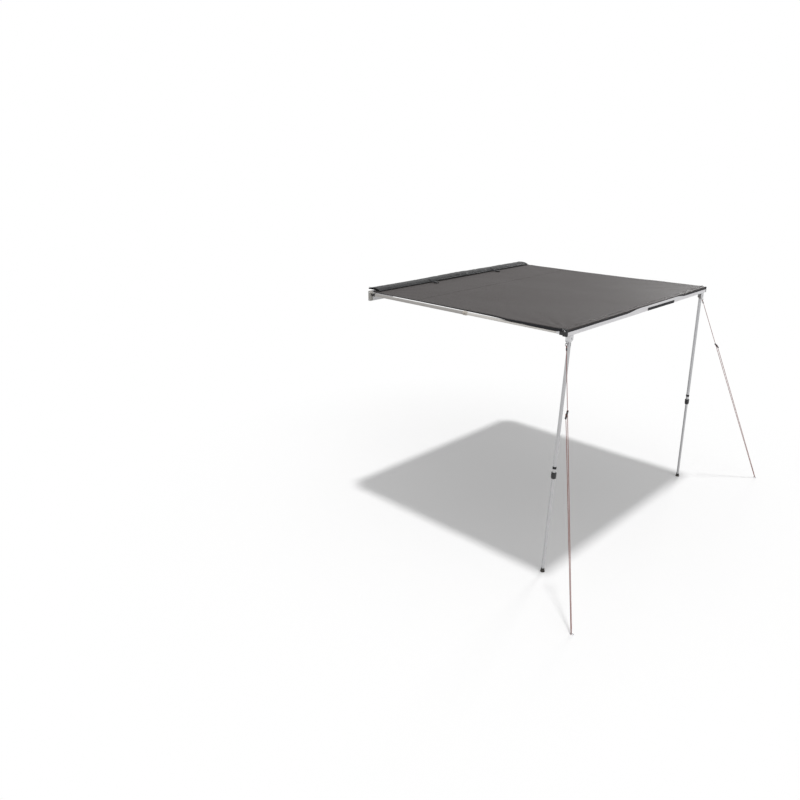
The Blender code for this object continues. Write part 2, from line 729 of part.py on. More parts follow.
def rail_outlines():
    """The outer rail's section in (y, z) about the rail's middle plane."""
    half = RAIL_DEPTH / 2
    mouth = GROOVE_MOUTH / 2
    centre = (RAIL_GROOVE_OUT, RAIL_TOP - GROOVE_INSET)
    corner = RAIL_CORNER
    outside = [(-half, RAIL_BOTTOM + RAIL_EDGE), (-half, RAIL_TOP - RAIL_EDGE), (-half + RAIL_EDGE, RAIL_TOP)]
    outside += [(centre[0] - mouth, RAIL_TOP)]
    outside += groove_points(centre, 90)
    outside += [(centre[0] + mouth, RAIL_TOP)]
    outside += arc_points((half - RAIL_TOP_CORNER, RAIL_TOP - RAIL_TOP_CORNER), RAIL_TOP_CORNER, 90, 0, 2)
    outside += arc_points((half - corner, RAIL_BOTTOM + corner), corner, 0, -90, 4)
    outside += [(-half + RAIL_EDGE, RAIL_BOTTOM)]
    return [outside, rail_hollow(0.0)]


def rail_hollow(margin):
    """The rail's chamber under the groove, or with a margin the cap's spigot."""
    half = RAIL_DEPTH / 2 - RAIL_WALL - margin
    top = RAIL_TOP - GROOVE_INSET - GROOVE_RADIUS - RAIL_WALL - margin
    low = RAIL_BOTTOM + RAIL_WALL + margin
    cut = RAIL_HOLLOW_CUT
    return [(-half, low), (half - cut, low), (half, low + cut), (half, top), (-half, top)]


def moved_outline(outline, dy):
    """Shift a (y, z) outline outwards."""
    return [(y + dy, z) for y, z in outline]


def build_rail():
    """The outer rail that the canopy's front edge slides into."""
    outlines = [moved_outline(outline, RAIL_Y) for outline in rail_outlines()]
    mesh = extruded(outlines, 2 * HALF_RAIL, along_x_frame(-HALF_RAIL))
    add_part("outer_rail", mesh, "white_alloy")


def build_canopy_hem():
    """The canopy's front hem: a bead in the rail's groove and a flap over its edge."""
    half = RAIL_DEPTH / 2
    centre = (RAIL_GROOVE_OUT, RAIL_TOP - GROOVE_INSET)
    neck = BEAD_NECK / 2
    low = RAIL_TOP + FIT_GAP
    start = -half + CANOPY_LAP + HEM_GAP
    flap_inner = half + FIT_GAP
    flap_outer = flap_inner + HEM_THICK
    neck_angle = math.degrees(math.asin(neck / BEAD_RADIUS))
    outline = [(start, low), (centre[0] - neck, low)]
    outline += arc_points(centre, BEAD_RADIUS, 90 + neck_angle, 450 - neck_angle, 8)
    outline += [
        (centre[0] + neck, low), (flap_inner, low), (flap_inner, RAIL_TOP - HEM_FLAP),
        (flap_outer, RAIL_TOP - HEM_FLAP), (flap_outer, low + HEM_THICK - HEM_EDGE),
        (flap_outer - HEM_EDGE, low + HEM_THICK), (start, low + HEM_THICK),
    ]
    mesh = extruded([moved_outline(outline, RAIL_Y)], 2 * HALF_RAIL, along_x_frame(-HALF_RAIL))
    add_part("canopy_hem", mesh, "hem_cloth")


def build_rail_cap(end, side):
    """The black cap on a rail end, with the jaw that the arm's tongue enters."""
    start = HALF_RAIL + FIT_GAP
    outer = RAIL_Y + RAIL_DEPTH / 2
    half_tongue = TONGUE_THICK / 2 + TONGUE_PLAY
    low = ARM_LEVEL - half_tongue - JAW_PLATE
    high = ARM_LEVEL + half_tongue + JAW_PLATE
    front = RAIL_INNER_Y - FIT_GAP
    back = front - JAW_DEPTH
    plate_outline = [(back, high), (back, low), (RAIL_INNER_Y, low), (RAIL_INNER_Y, RAIL_BOTTOM)]
    plate_outline += arc_points((outer - RAIL_CORNER, RAIL_BOTTOM + RAIL_CORNER), RAIL_CORNER, -90, 0, 4)
    top_corner = RAIL_TOP_CORNER
    plate_outline += arc_points((outer - top_corner, RAIL_TOP - top_corner), top_corner, 0, 90, 2)
    plate_outline += [(RAIL_INNER_Y, RAIL_TOP), (RAIL_INNER_Y, high)]
    body = extruded([plate_outline], RAIL_CAP_THICK, along_x_frame(start))
    jaw_start = END_X - JAW_WIDTH
    plates = block((jaw_start, back + JAW_LAP, low - JAW_LAP), (start + JOIN_LAP, front, high + JAW_LAP))
    spigot = extruded([moved_outline(rail_hollow(FIT_GAP), RAIL_Y)], RAIL_SPIGOT_LENGTH + JOIN_LAP,
                      along_x_frame(start - RAIL_SPIGOT_LENGTH))
    body = combined(body, [plates, spigot], "UNION")
    way = block((jaw_start - OVERSHOOT, back - OVERSHOOT, ARM_LEVEL - half_tongue),
                (END_X - JAW_WALL, RAIL_INNER_Y - FIT_GAP / 2, ARM_LEVEL + half_tongue))
    chamfer = [(END_X - JAW_CORNER, back - JOIN_LAP), (END_X + JOIN_LAP, back - JOIN_LAP),
               (END_X + JOIN_LAP, back + JAW_CORNER)]
    corner = extruded([chamfer], high - low + 2 * OVERSHOOT, Matrix.Translation((0, 0, low - OVERSHOOT)))
    body = combined(body, [way, corner], "DIFFERENCE")
    mirror_to_side(body, side)
    add_part(f"{end}_rail_cap", body, "black_plastic")


def lug_hole_place(side):
    """World centre of the hole that the guy ring hangs in."""
    outboard = END_X - BRACKET_END_INSET
    return Vector((side * (outboard + LUG_REACH), RAIL_Y, RAIL_BOTTOM - FIT_GAP - BRACKET_DROP + LUG_RISE))


def build_leg_bracket(end, side):
    """The channel under a rail end: two cheeks round the leg and a lug for the guy ring."""
    inner = TUBE_RADIUS + CHEEK_GAP
    width = 2 * (inner + CHEEK_THICK)
    outboard = END_X - BRACKET_END_INSET
    top = RAIL_BOTTOM - FIT_GAP
    bottom = top - BRACKET_DROP
    inboard = LEG_PIVOT_X - BRACKET_INBOARD
    side_view = [
        (inboard, top), (inboard, LEG_PIVOT_Z - KNUCKLE_EYE_RADIUS),
        (outboard - BRACKET_NOSE, bottom), (outboard - BRACKET_CHAMFER, bottom),
        (outboard, bottom + BRACKET_CHAMFER), (outboard, top),
    ]
    shell_y = RAIL_Y + width / 2
    body = extruded([side_view], width, along_y_frame(shell_y))
    web_inner = outboard - BRACKET_WEB
    cavity = block((inboard - OVERSHOOT, RAIL_Y - inner, bottom - OVERSHOOT),
                   (web_inner, RAIL_Y + inner, top - BRACKET_TOP))
    body = combined(body, [cavity], "DIFFERENCE")
    lug_centre = lug_hole_place(1)
    lug_start = web_inner + BRACKET_WEB / 4
    lug = [(lug_start, lug_centre.z - LUG_RADIUS)]
    lug += arc_points((lug_centre.x, lug_centre.z), LUG_RADIUS, -90, 90, 8)
    lug += [(lug_start, lug_centre.z + LUG_RADIUS + LUG_GUSSET)]
    lug_mesh = extruded([lug], LUG_THICK, along_y_frame(RAIL_Y + LUG_THICK / 2))
    body = combined(body, [lug_mesh], "UNION")
    pin_hole = drill(PIN_RADIUS + FIT_GAP, width + 2 * OVERSHOOT, 16,
                     frame_of((LEG_PIVOT_X, RAIL_Y, LEG_PIVOT_Z), UP, OUT))
    ring_hole = drill(LUG_HOLE, LUG_THICK + OVERSHOOT, 12, frame_of(lug_centre, UP, OUT))
    body = combined(body, [pin_hole, ring_hole], "DIFFERENCE")
    mirror_to_side(body, side)
    add_part(f"{end}_leg_bracket", body, "white_alloy")


def leg_direction(side):
    """Unit vector down along a leg, splayed outwards at its foot."""
    return Vector((side * math.sin(LEG_SPLAY), 0, -math.cos(LEG_SPLAY)))


def leg_foot(frame):
    """A rubber foot: socket for the inner tube, waist, and a sole cut level."""
    socket_start = LEG_LENGTH - FOOT_HEIGHT
    grip = INNER_TUBE_RADIUS + FIT_GAP
    seat = socket_start + FOOT_SOCKET
    sole_start = LEG_LENGTH - FOOT_SOLE
    below = LEG_LENGTH + OVERSHOOT / 2
    skirt = grip + FOOT_SKIRT
    profile = [
        (0, seat), (grip, seat), (grip, socket_start), (skirt, socket_start),
        (skirt, sole_start - FOOT_SOLE), (FOOT_RADIUS, sole_start), (FOOT_RADIUS, below), (0, below),
    ]
    foot = turned(profile, 16, frame @ x_to_z())
    ground = block((-END_X - 1, 0, -STAND_HEIGHT - OVERSHOOT), (END_X + 1, REACH + 1, -STAND_HEIGHT))
    return combined(foot, [ground], "DIFFERENCE")


def build_leg(end, side):
    """One telescopic leg, from its knuckle in the leg bracket to its foot."""
    pivot = (side * LEG_PIVOT_X, RAIL_Y, LEG_PIVOT_Z)
    frame = frame_of(pivot, leg_direction(side), OUT)
    pin_length = 2 * (TUBE_RADIUS + CHEEK_GAP + CHEEK_THICK)
    add_part(f"{end}_leg_pivot_pin", pivot_pin(pin_length, frame), "steel", pivot)
    add_part(f"{end}_leg_knuckle", knuckle(frame), "grey_plastic", pivot)
    outer = tube(TUBE_RADIUS, TUBE_WALL, TUBE_START, LEG_TUBE_END, frame)
    add_part(f"{end}_leg_outer_tube", outer, "alloy", pivot)
    lock = twist_lock(LEG_LOCK_RADIUS, LEG_LOCK_LENGTH, LEG_TUBE_END, LEG_LOCK_FLUTES, frame)
    add_part(f"{end}_leg_twist_lock", lock, "black_plastic", pivot)
    inner_end = LEG_LENGTH - FOOT_HEIGHT + FOOT_SOCKET - FIT_GAP
    inner = tube(INNER_TUBE_RADIUS, INNER_TUBE_WALL, LEG_TUBE_END - LEG_OVERLAP, inner_end, frame)
    add_part(f"{end}_leg_inner_tube", inner, "alloy", pivot)
    add_part(f"{end}_leg_foot", leg_foot(frame), "rubber", pivot)


def canopy_half_width(v):
    """Half the canopy's width at share v of the way from backboard to rail."""
    straight = END_X - CANOPY_INSET * (1 - v) ** 1.5 - CANOPY_SIDE_ROOM
    return straight - CANOPY_EDGE_CURVE * math.sin(math.pi * v)


def canopy_level(u, v):
    """Height of the canopy's middle layer at shares u across and v outwards."""
    level = CANOPY_BOARD_Z + (CANOPY_RAIL_Z - CANOPY_BOARD_Z) * v ** CANOPY_LIFT_POWER
    return level - CANOPY_SAG * math.sin(math.pi * u) * math.sin(math.pi * v)


def build_canopy():
    """The stretched canopy: a thin closed sheet with its sag and drawn-in side edges."""
    vertices = []
    for row in range(CANOPY_STEPS_Y + 1):
        v = row / CANOPY_STEPS_Y
        y = CANOPY_START_Y + (CANOPY_END_Y - CANOPY_START_Y) * v
        for column in range(CANOPY_STEPS_X + 1):
            u = column / CANOPY_STEPS_X
            vertices.append(((2 * u - 1) * canopy_half_width(v), y, canopy_level(u, v)))
    wide = CANOPY_STEPS_X + 1
    faces = []
    for row in range(CANOPY_STEPS_Y):
        for column in range(CANOPY_STEPS_X):
            first = row * wide + column
            faces.append((first, first + 1, first + wide + 1, first + wide))
    sheet = bpy.data.meshes.new("canopy_sheet")
    sheet.from_pydata(vertices, [], faces)
    obj = scratch_object(sheet)
    shell = obj.modifiers.new("thickness", "SOLIDIFY")
    shell.thickness = CANOPY_THICK
    shell.offset = 0
    add_part("canopy", baked(obj), "canopy_cloth")


def build_canopy_keder():
    """The bead along the canopy's rear edge, held in the backboard's front groove."""
    centre = (BOARD_DEPTH - GROOVE_INSET, CANOPY_BOARD_Z)
    neck = BEAD_NECK / 2
    neck_angle = math.degrees(math.asin(neck / BEAD_RADIUS))
    outline = arc_points(centre, BEAD_RADIUS, neck_angle, 360 - neck_angle, 8)
    front = CANOPY_START_Y - FIT_GAP
    outline += [(front, centre[1] - neck), (front, centre[1] + neck)]
    half = END_X - CANOPY_INSET - 2 * CANOPY_SIDE_ROOM
    mesh = extruded([outline], 2 * half, along_x_frame(-half))
    add_part("canopy_keder", mesh, "hem_cloth")


def bag_rise(x):
    """How high the laid-back flap stands at place x: it is crumpled, not even."""
    share = x / (BAG_LENGTH / 2)
    swell = math.cos(3.1 * share + 0.4) * 0.6 + math.cos(7.3 * share) * 0.4
    return BAG_RISE + BAG_WAVE * swell


def bag_lip():
    """Height of the flap's front lip, which lies over the canopy's edge."""
    return CANOPY_BOARD_Z + CANOPY_THICK / 2 + BAG_LIP_GAP


def bag_point(x, angle):
    """(y, z) on the flap's outside: angle 0 is its front edge and pi its rear edge."""
    middle = (BAG_FRONT + BAG_BACK) / 2
    half = (BAG_FRONT - BAG_BACK) / 2
    reach = math.copysign(abs(math.cos(angle)) ** 0.75, math.cos(angle))
    y = middle + half * reach
    base = BOARD_HEIGHT / 2 + BAG_BASE
    beyond = min(max((y - BOARD_DEPTH) / (BAG_FRONT - BOARD_DEPTH), 0.0), 1.0)
    droop = (base - bag_lip()) * beyond ** 2 * (3 - 2 * beyond)
    return y, base - droop + bag_rise(x) * max(math.sin(angle), 0.0) ** 0.9


def beside_bag(x, angle, clear):
    """(y, z) at a distance outside the flap's surface."""
    y, z = bag_point(x, angle)
    along = Vector(bag_point(x, angle + 0.05)) - Vector(bag_point(x, angle - 0.05))
    along.normalize()
    return y + along.y * clear, z - along.x * clear


def zip_line():
    """(y, z) of the outer edge of the zip tape, along the bag's rear edge."""
    return BAG_BACK - ZIP_LIP_DEPTH, BOARD_HEIGHT / 2 + BAG_BASE + ZIP_LIP_THICK / 2 + ZIP_TAPE_RISE


def build_bag():
    """The opened cover bag: its flap lies along the backboard's top, its lip over the front."""
    vertices = []
    faces = []
    count = BAG_ROUND_STEPS + 3
    step_y = BOARD_DEPTH + BAG_STEP_GAP
    for station in range(BAG_STATIONS + 1):
        x = BAG_LENGTH / 2 - BAG_LENGTH * station / BAG_STATIONS
        for step in range(BAG_ROUND_STEPS + 1):
            y, z = bag_point(x, math.pi * step / BAG_ROUND_STEPS)
            vertices.append((x, y, z))
        vertices.append((x, step_y, BOARD_HEIGHT / 2 + BAG_BASE))
        vertices.append((x, step_y, bag_lip()))
    for station in range(BAG_STATIONS):
        for step in range(count):
            after = (step + 1) % count
            a = station * count + step
            b = station * count + after
            faces.append((a, b, b + count, a + count))
    faces.append(tuple(range(count)))
    faces.append(tuple(reversed(range(BAG_STATIONS * count, (BAG_STATIONS + 1) * count))))
    flap = bpy.data.meshes.new("bag_flap")
    flap.from_pydata(vertices, [], faces)
    zip_y, zip_z = zip_line()
    tape_half = BAG_LENGTH / 2 - ZIP_TAPE_INSET
    tape = block((-tape_half, zip_y, zip_z - ZIP_LIP_THICK / 2),
                 (tape_half, BAG_BACK + ZIP_TAPE_LAP, zip_z + ZIP_LIP_THICK / 2))
    half = BOARD_HEIGHT / 2
    groove = (BAG_GROOVE_BACK, half - GROOVE_INSET)
    neck = BEAD_NECK / 2
    neck_angle = math.degrees(math.asin(neck / BEAD_RADIUS))
    bead_outline = arc_points(groove, BEAD_RADIUS, 90 + neck_angle, 450 - neck_angle, 8)
    neck_top = half + BAG_BASE + JOIN_LAP
    bead_outline += [(groove[0] + neck, neck_top), (groove[0] - neck, neck_top)]
    bead_half = BAG_LENGTH / 2 - BAG_BEAD_INSET
    bead = extruded([bead_outline], 2 * bead_half, along_x_frame(-bead_half))
    add_part("cover_bag", combined(weld(flap), [tape, bead], "UNION"), "bag_vinyl")


def build_zip_slider():
    """The zip slider astride the zip tape, with its pull tab."""
    zip_y, zip_z = zip_line()
    grip = ZIP_LIP_THICK / 2 + FIT_GAP
    low = zip_z - grip
    high = zip_z + grip
    back = zip_y - ZIP_SLIDER_BACK
    front = zip_y + ZIP_LIP_DEPTH - ZIP_SLIDER_WALL
    jaw = [
        (back, low - ZIP_SLIDER_WALL), (front, low - ZIP_SLIDER_WALL), (front, low), (zip_y - FIT_GAP, low),
        (zip_y - FIT_GAP, high), (front, high), (front, high + ZIP_SLIDER_WALL),
        (back, high + ZIP_SLIDER_WALL),
    ]
    start = BAG_LENGTH / 2 - ZIP_START
    body = extruded([jaw], ZIP_SLIDER_LENGTH, along_x_frame(start))
    middle = start + ZIP_SLIDER_LENGTH / 2
    half = ZIP_PULL_WIDTH / 2
    corner = ZIP_PULL_CORNER
    root = back + ZIP_SLIDER_WALL
    tip = back - ZIP_PULL_LENGTH
    pull = [(middle - half, root), (middle - half, tip + corner), (middle - half + corner, tip),
            (middle + half - corner, tip), (middle + half, tip + corner), (middle + half, root)]
    eye = [(middle + x, tip + half + y) for x, y in circle_outline(ZIP_PULL_EYE, 8)]
    tab = extruded([pull, eye], ZIP_PULL_THICK, Matrix.Translation((0, 0, zip_z - ZIP_PULL_THICK / 2)))
    add_part("bag_zip_slider", combined(body, [tab], "UNION"), "steel")


def band_outline(path, thickness):
    """The outline of a thin band whose middle follows a path of (y, z) points."""
    left, right = [], []
    last = len(path) - 1
    for index, (y, z) in enumerate(path):
        before = Vector(path[max(index - 1, 0)])
        after = Vector(path[min(index + 1, last)])
        along = (after - before).normalized()
        left.append((y - along.y * thickness / 2, z + along.x * thickness / 2))
        right.append((y + along.y * thickness / 2, z - along.x * thickness / 2))
    return left + list(reversed(right))


def buckle_bar():
    """(y, z) of the middle of the bar that a bag strap is looped round."""
    canopy_top = CANOPY_BOARD_Z + CANOPY_THICK / 2
    return STRAP_END, canopy_top + FIT_GAP + 2 * STRAP_GAP + STRAP_THICK + BUCKLE_BAR_HEIGHT / 2


def strap_path(place):
    """The strap's way from the bag over its front lip and round the buckle's bar."""
    clear = STRAP_THICK / 2 + STRAP_GAP
    bar_y, bar_z = buckle_bar()
    under = bar_z - BUCKLE_BAR_HEIGHT / 2 - clear
    over = bar_z + BUCKLE_BAR_HEIGHT / 2 + clear
    beyond = bar_y + BUCKLE_BAR_DEPTH / 2 + clear
    path = [beside_bag(place, angle, clear + STRAP_GAP) for angle in (1.30, 1.05, 0.80, 0.55, 0.35)]
    path += [
        (BAG_FRONT + STRAP_STAND_OFF, bag_lip() + 1.5 * STRAP_STAND_OFF),
        (BAG_FRONT + 2.5 * STRAP_STAND_OFF, under + STRAP_FOLD / 2), (BAG_FRONT + 4 * STRAP_STAND_OFF, under),
        (beyond - STRAP_FOLD, under), (beyond, under + STRAP_FOLD),
        (beyond, over - STRAP_FOLD), (beyond - STRAP_FOLD, over), (bar_y - STRAP_TAIL, over),
    ]
    return path


def build_bag_strap(end, place):
    """A strap sewn to the bag and its buckle half, lying on the canopy's edge."""
    band = extruded([band_outline(strap_path(place), STRAP_THICK)], STRAP_WIDTH,
                    along_x_frame(place - STRAP_WIDTH / 2))
    add_part(f"{end}_bag_strap", band, "webbing")
    bar_y, bar_z = buckle_bar()
    low = CANOPY_BOARD_Z + CANOPY_THICK / 2 + FIT_GAP
    back = bar_y - BUCKLE_BAR_DEPTH / 2
    front = back + BUCKLE_LENGTH
    half = BUCKLE_WIDTH / 2
    notch = BUCKLE_NOTCH
    plan = [(place - half, back + notch), (place - half + notch, back), (place + half - notch, back),
            (place + half, back + notch), (place + half, front - BUCKLE_NOSE), (place + half - notch, front),
            (place - half + notch, front), (place - half, front - BUCKLE_NOSE)]
    body = extruded([plan], BUCKLE_THICK, Matrix.Translation((0, 0, low)))
    high = low + BUCKLE_THICK
    slot_end = bar_y + BUCKLE_BAR_DEPTH / 2
    slot_half = STRAP_WIDTH / 2 + BUCKLE_SLOT_PLAY
    under_bar = bar_z - BUCKLE_BAR_HEIGHT / 2
    over_bar = bar_z + BUCKLE_BAR_HEIGHT / 2
    slot_front = slot_end + STRAP_THICK + 3 * STRAP_GAP
    beside_bar = slot_end + STRAP_GAP
    mouth_half = half - BUCKLE_SIDE_WALL
    window_start = front - BUCKLE_WINDOW_INSET - BUCKLE_WINDOW
    window_skin = BUCKLE_SKIN * 0.75
    left, right = place - slot_half, place + slot_half
    below, above, behind = low - OVERSHOOT, high + OVERSHOOT, back - OVERSHOOT
    cuts = [
        block((left, slot_end, below), (right, slot_front, above)),
        block((left, behind, below), (right, beside_bar, under_bar)),
        block((left, behind, over_bar), (right, beside_bar, above)),
        block((place - mouth_half, front - BUCKLE_MOUTH_DEPTH, low + BUCKLE_SKIN),
              (place + mouth_half, front + OVERSHOOT, high - BUCKLE_SKIN)),
        block((place - half - OVERSHOOT, window_start, low + window_skin),
              (place + half + OVERSHOOT, window_start + BUCKLE_WINDOW, high - window_skin)),
    ]
    add_part(f"{end}_bag_buckle", combined(body, cuts, "DIFFERENCE"), "black_plastic", smooth_deg=0)


def build_tie_strap():
    """The storage strap lying along the rail's outer face, below the hem's flap."""
    top = RAIL_TOP - HEM_FLAP - FIT_GAP
    start, stop = TIE_START, TIE_START - TIE_LENGTH
    middle = (start + stop) / 2
    bottom = top - TIE_WIDTH
    outline = [
        (start, top - TIE_CORNER), (start, bottom + TIE_CORNER), (middle, bottom - TIE_BELLY),
        (stop + TIE_CORNER, bottom - TIE_DROP), (stop, bottom - TIE_DROP + TIE_CORNER),
        (stop, top - TIE_DROP - TIE_BELLY), (middle, top - TIE_BELLY), (start - TIE_CORNER, top),
    ]
    face = RAIL_Y + RAIL_DEPTH / 2 + FIT_GAP
    band = extruded([outline], TIE_THICK, along_y_frame(face + TIE_THICK))
    add_part("tie_strap", band, "webbing")


class GuyFrame:
    """One guy rope's own axes: along the rope, outboard across it, and sideways."""

    def __init__(self, side):
        hole = lug_hole_place(side)
        self.peg = Vector((side * (END_X + PEG_OUT), RAIL_Y + PEG_AWAY, PEG_RISE - STAND_HEIGHT))
        self.along = (self.peg - hole).normalized()
        across = OUT.cross(self.along)
        self.across = (across * (side if across.x > 0 else -side)).normalized()
        self.sideways = self.along.cross(self.across) * side
        self.ring = hole + self.along * (RING_RADIUS + LUG_HOLE - RING_WIRE - RING_TILT_ROOM)
        self.eye = self.ring + self.along * RING_RADIUS
        self.length = (self.peg - self.eye).length

    def place(self, along, across, sideways=0.0):
        """World point at distances from the ring's far wire, where the rope turns."""
        return self.eye + self.along * along + self.across * across + self.sideways * sideways

    def frame(self, along, across, tilt=0.0):
        """Frame there with local X along the rope, turned by tilt towards outboard."""
        x_dir = self.along * math.cos(tilt) + self.across * math.sin(tilt)
        return frame_of(self.place(along, across), x_dir, self.sideways)


def standing_offset(along, length):
    """How far outboard the standing strand lies at a distance along the rope."""
    first = FERRULE_START + FERRULE_LENGTH
    peg_turn = PEG_WIRE + FIT_GAP + ROPE_RADIUS
    share = (along - first) / (length - first)
    return STRAND_OFFSET * (1 - share) - peg_turn * share


def slider_holes(length):
    """(along, across) of the slider's upper and lower holes."""
    upper = length * SLIDER_SHARE
    tilt = math.radians(SLIDER_TILT_DEG)
    offset = standing_offset(upper, length)
    return ((upper, offset),
            (upper + SLIDER_HOLE_SPAN * math.cos(tilt), offset + SLIDER_HOLE_SPAN * math.sin(tilt)))


def guy_route(length):
    """The rope's route as (along, across): ring, slider, peg and back to the slider."""
    ring_turn = RING_WIRE + FIT_GAP + ROPE_RADIUS
    peg_turn = PEG_WIRE + FIT_GAP + ROPE_RADIUS
    ferrule_end = FERRULE_START + FERRULE_LENGTH
    route = [(ferrule_end + ROPE_TAIL, -STRAND_OFFSET), (FERRULE_START, -STRAND_OFFSET),
             (ROPE_EYE_LENGTH, -ROPE_EYE_SPREAD)]
    route += arc_points((0, 0), ring_turn, -90, -270, 6)
    route += [(ROPE_EYE_LENGTH, ROPE_EYE_SPREAD), (FERRULE_START, STRAND_OFFSET),
              (ferrule_end, STRAND_OFFSET)]
    for share in (0.12, 0.25, 0.4, 0.55, 0.7, 0.85):
        along = length * share
        route.append((along, standing_offset(along, length)))
    route += arc_points((length, 0), peg_turn, -90, 90, 6)
    lower = slider_holes(length)[1]
    rise = (lower[1] - peg_turn) / (lower[0] - length)
    for share in (0.2, 0.4, 0.6, 0.8, 1.0):
        along = length + (lower[0] - length) * share
        route.append((along, peg_turn + (along - length) * rise))
    knot = lower[0] - KNOT_LIFT
    route.append((knot, peg_turn + (knot - length) * rise))
    return route


def wire(points, radius, resolution=2):
    """A round tube through the points, capped at both ends."""
    curve = bpy.data.curves.new("wire", "CURVE")
    curve.dimensions = "3D"
    curve.bevel_depth = radius
    curve.bevel_resolution = resolution
    curve.use_fill_caps = True
    spline = curve.splines.new("POLY")
    spline.points.add(len(points) - 1)
    for target, point in zip(spline.points, points):
        target.co = (*point, 1)
    return baked(scratch_object(curve))


def ball(centre, radius, steps=10):
    """A round knot at a point."""
    profile = [(0, radius)]
    profile += [(radius * math.sin(math.pi * step / 6), radius * math.cos(math.pi * step / 6))
                for step in range(1, 6)]
    profile += [(0, -radius)]
    return turned(profile, steps, Matrix.Translation(centre))


def build_guy_ring(end, guy):
    """The steel ring that hangs in the leg bracket's lug."""
    profile = circle_outline(RING_WIRE, 8)
    section = [(RING_RADIUS + x, z) for x, z in reversed(profile)]
    frame = frame_of(guy.ring, guy.along, guy.across)
    add_part(f"{end}_guy_ring", turned(section, 20, frame, closed=True), "steel")


def build_guy_ferrule(end, guy):
    """The crimped sleeve that holds the rope's eye closed."""
    inner = ROPE_RADIUS + FIT_GAP
    outer = inner + FERRULE_WALL
    outlines = []
    for radius in (outer, inner):
        outline = arc_points((0, STRAND_OFFSET), radius, 0, 180, 6)
        outlines.append(outline + arc_points((0, -STRAND_OFFSET), radius, 180, 360, 6))
    start = guy.place(FERRULE_START, 0)
    frame = frame_of(start, guy.sideways, guy.along)
    add_part(f"{end}_guy_ferrule", extruded(outlines, FERRULE_LENGTH, frame), "black_plastic")


def build_guy_slider(end, guy):
    """The tilted tension slider: a bar with two holes that the rope passes through."""
    upper, lower = slider_holes(guy.length)
    tilt = math.radians(SLIDER_TILT_DEG)
    middle = ((upper[0] + lower[0]) / 2, (upper[1] + lower[1]) / 2)
    half = SLIDER_LENGTH / 2
    frame = guy.frame(*middle, tilt)
    outline = arc_points((half - SLIDER_WIDTH / 2, 0), SLIDER_WIDTH / 2, -90, 90, 6)
    outline += arc_points((SLIDER_WIDTH / 2 - half, 0), SLIDER_WIDTH / 2, 90, 270, 6)
    flat = Matrix.Rotation(math.radians(90), 4, "X")
    body = extruded([outline], SLIDER_THICK, flat @ Matrix.Translation((0, 0, -SLIDER_THICK / 2)))
    to_local = frame.inverted()
    holes = []
    for along, across in (upper, lower):
        way = to_local @ guy.frame(along, across) @ x_to_z()
        holes.append(drill(SLIDER_HOLE, SLIDER_LENGTH, 12, way))
    slider = combined(body, holes, "DIFFERENCE")
    slider.transform(frame)
    add_part(f"{end}_guy_slider", slider, "black_plastic")


def build_guy_peg(end, guy):
    """The steel peg: its arm holds the rope's bight, its shank goes into the ground."""
    lean = math.radians(PEG_LEAN_DEG)
    down = guy.along * math.cos(lean) - guy.across * math.sin(lean)
    bend = PEG_BEND

    def point(depth, sideways):
        return guy.peg + down * depth + guy.sideways * sideways

    points = [point(PEG_LENGTH, -PEG_ARM), point(PEG_LENGTH / 2, -PEG_ARM)]
    for across, depth in arc_points((-PEG_ARM + bend, bend), bend, 180, 270, 4):
        points.append(point(depth, across))
    for across, depth in arc_points((PEG_ARM - bend, bend), bend, 270, 360, 4):
        points.append(point(depth, across))
    points.append(point(PEG_HOOK, PEG_ARM))
    add_part(f"{end}_guy_peg", wire(points, PEG_WIRE), "steel")


def build_guy(end, side):
    """One guy line: ring, rope with its eye and ferrule, slider and peg."""
    guy = GuyFrame(side)
    build_guy_ring(end, guy)
    points = [guy.place(along, across) for along, across in guy_route(guy.length)]
    rope = combined(wire(points, ROPE_RADIUS), [ball(points[-1], KNOT_RADIUS)], "UNION")
    add_part(f"{end}_guy_rope", rope, "guy_rope")
    build_guy_ferrule(end, guy)
    build_guy_slider(end, guy)
    build_guy_peg(end, guy)


def main():
    """Build every piece."""
    start_scene()
    build_backboard()
    build_rack_bolts()
    build_rail()
    build_canopy()
    build_canopy_keder()
    build_canopy_hem()
    build_bag()
    build_zip_slider()
    build_tie_strap()
    for end, place in zip(("front", "rear"), STRAP_PLACES):
        build_bag_strap(end, place)
    for end, side in (("front", 1), ("rear", -1)):
        build_end_bracket(end, side)
        build_arm(end, side)
        build_rail_cap(end, side)
        build_leg_bracket(end, side)
        build_leg(end, side)
        build_guy(end, side)


main()
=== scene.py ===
"""Looks of a standing side awning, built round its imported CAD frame.

Everything is in metres in the frame's own axes: the origin is the centre of the
backboard's rear face, +X runs along the backboard, +Y points out under the
canopy and +Z is up.
"""

import json
import math

import bpy
import numpy as np
from mathutils import Matrix, Vector, noise

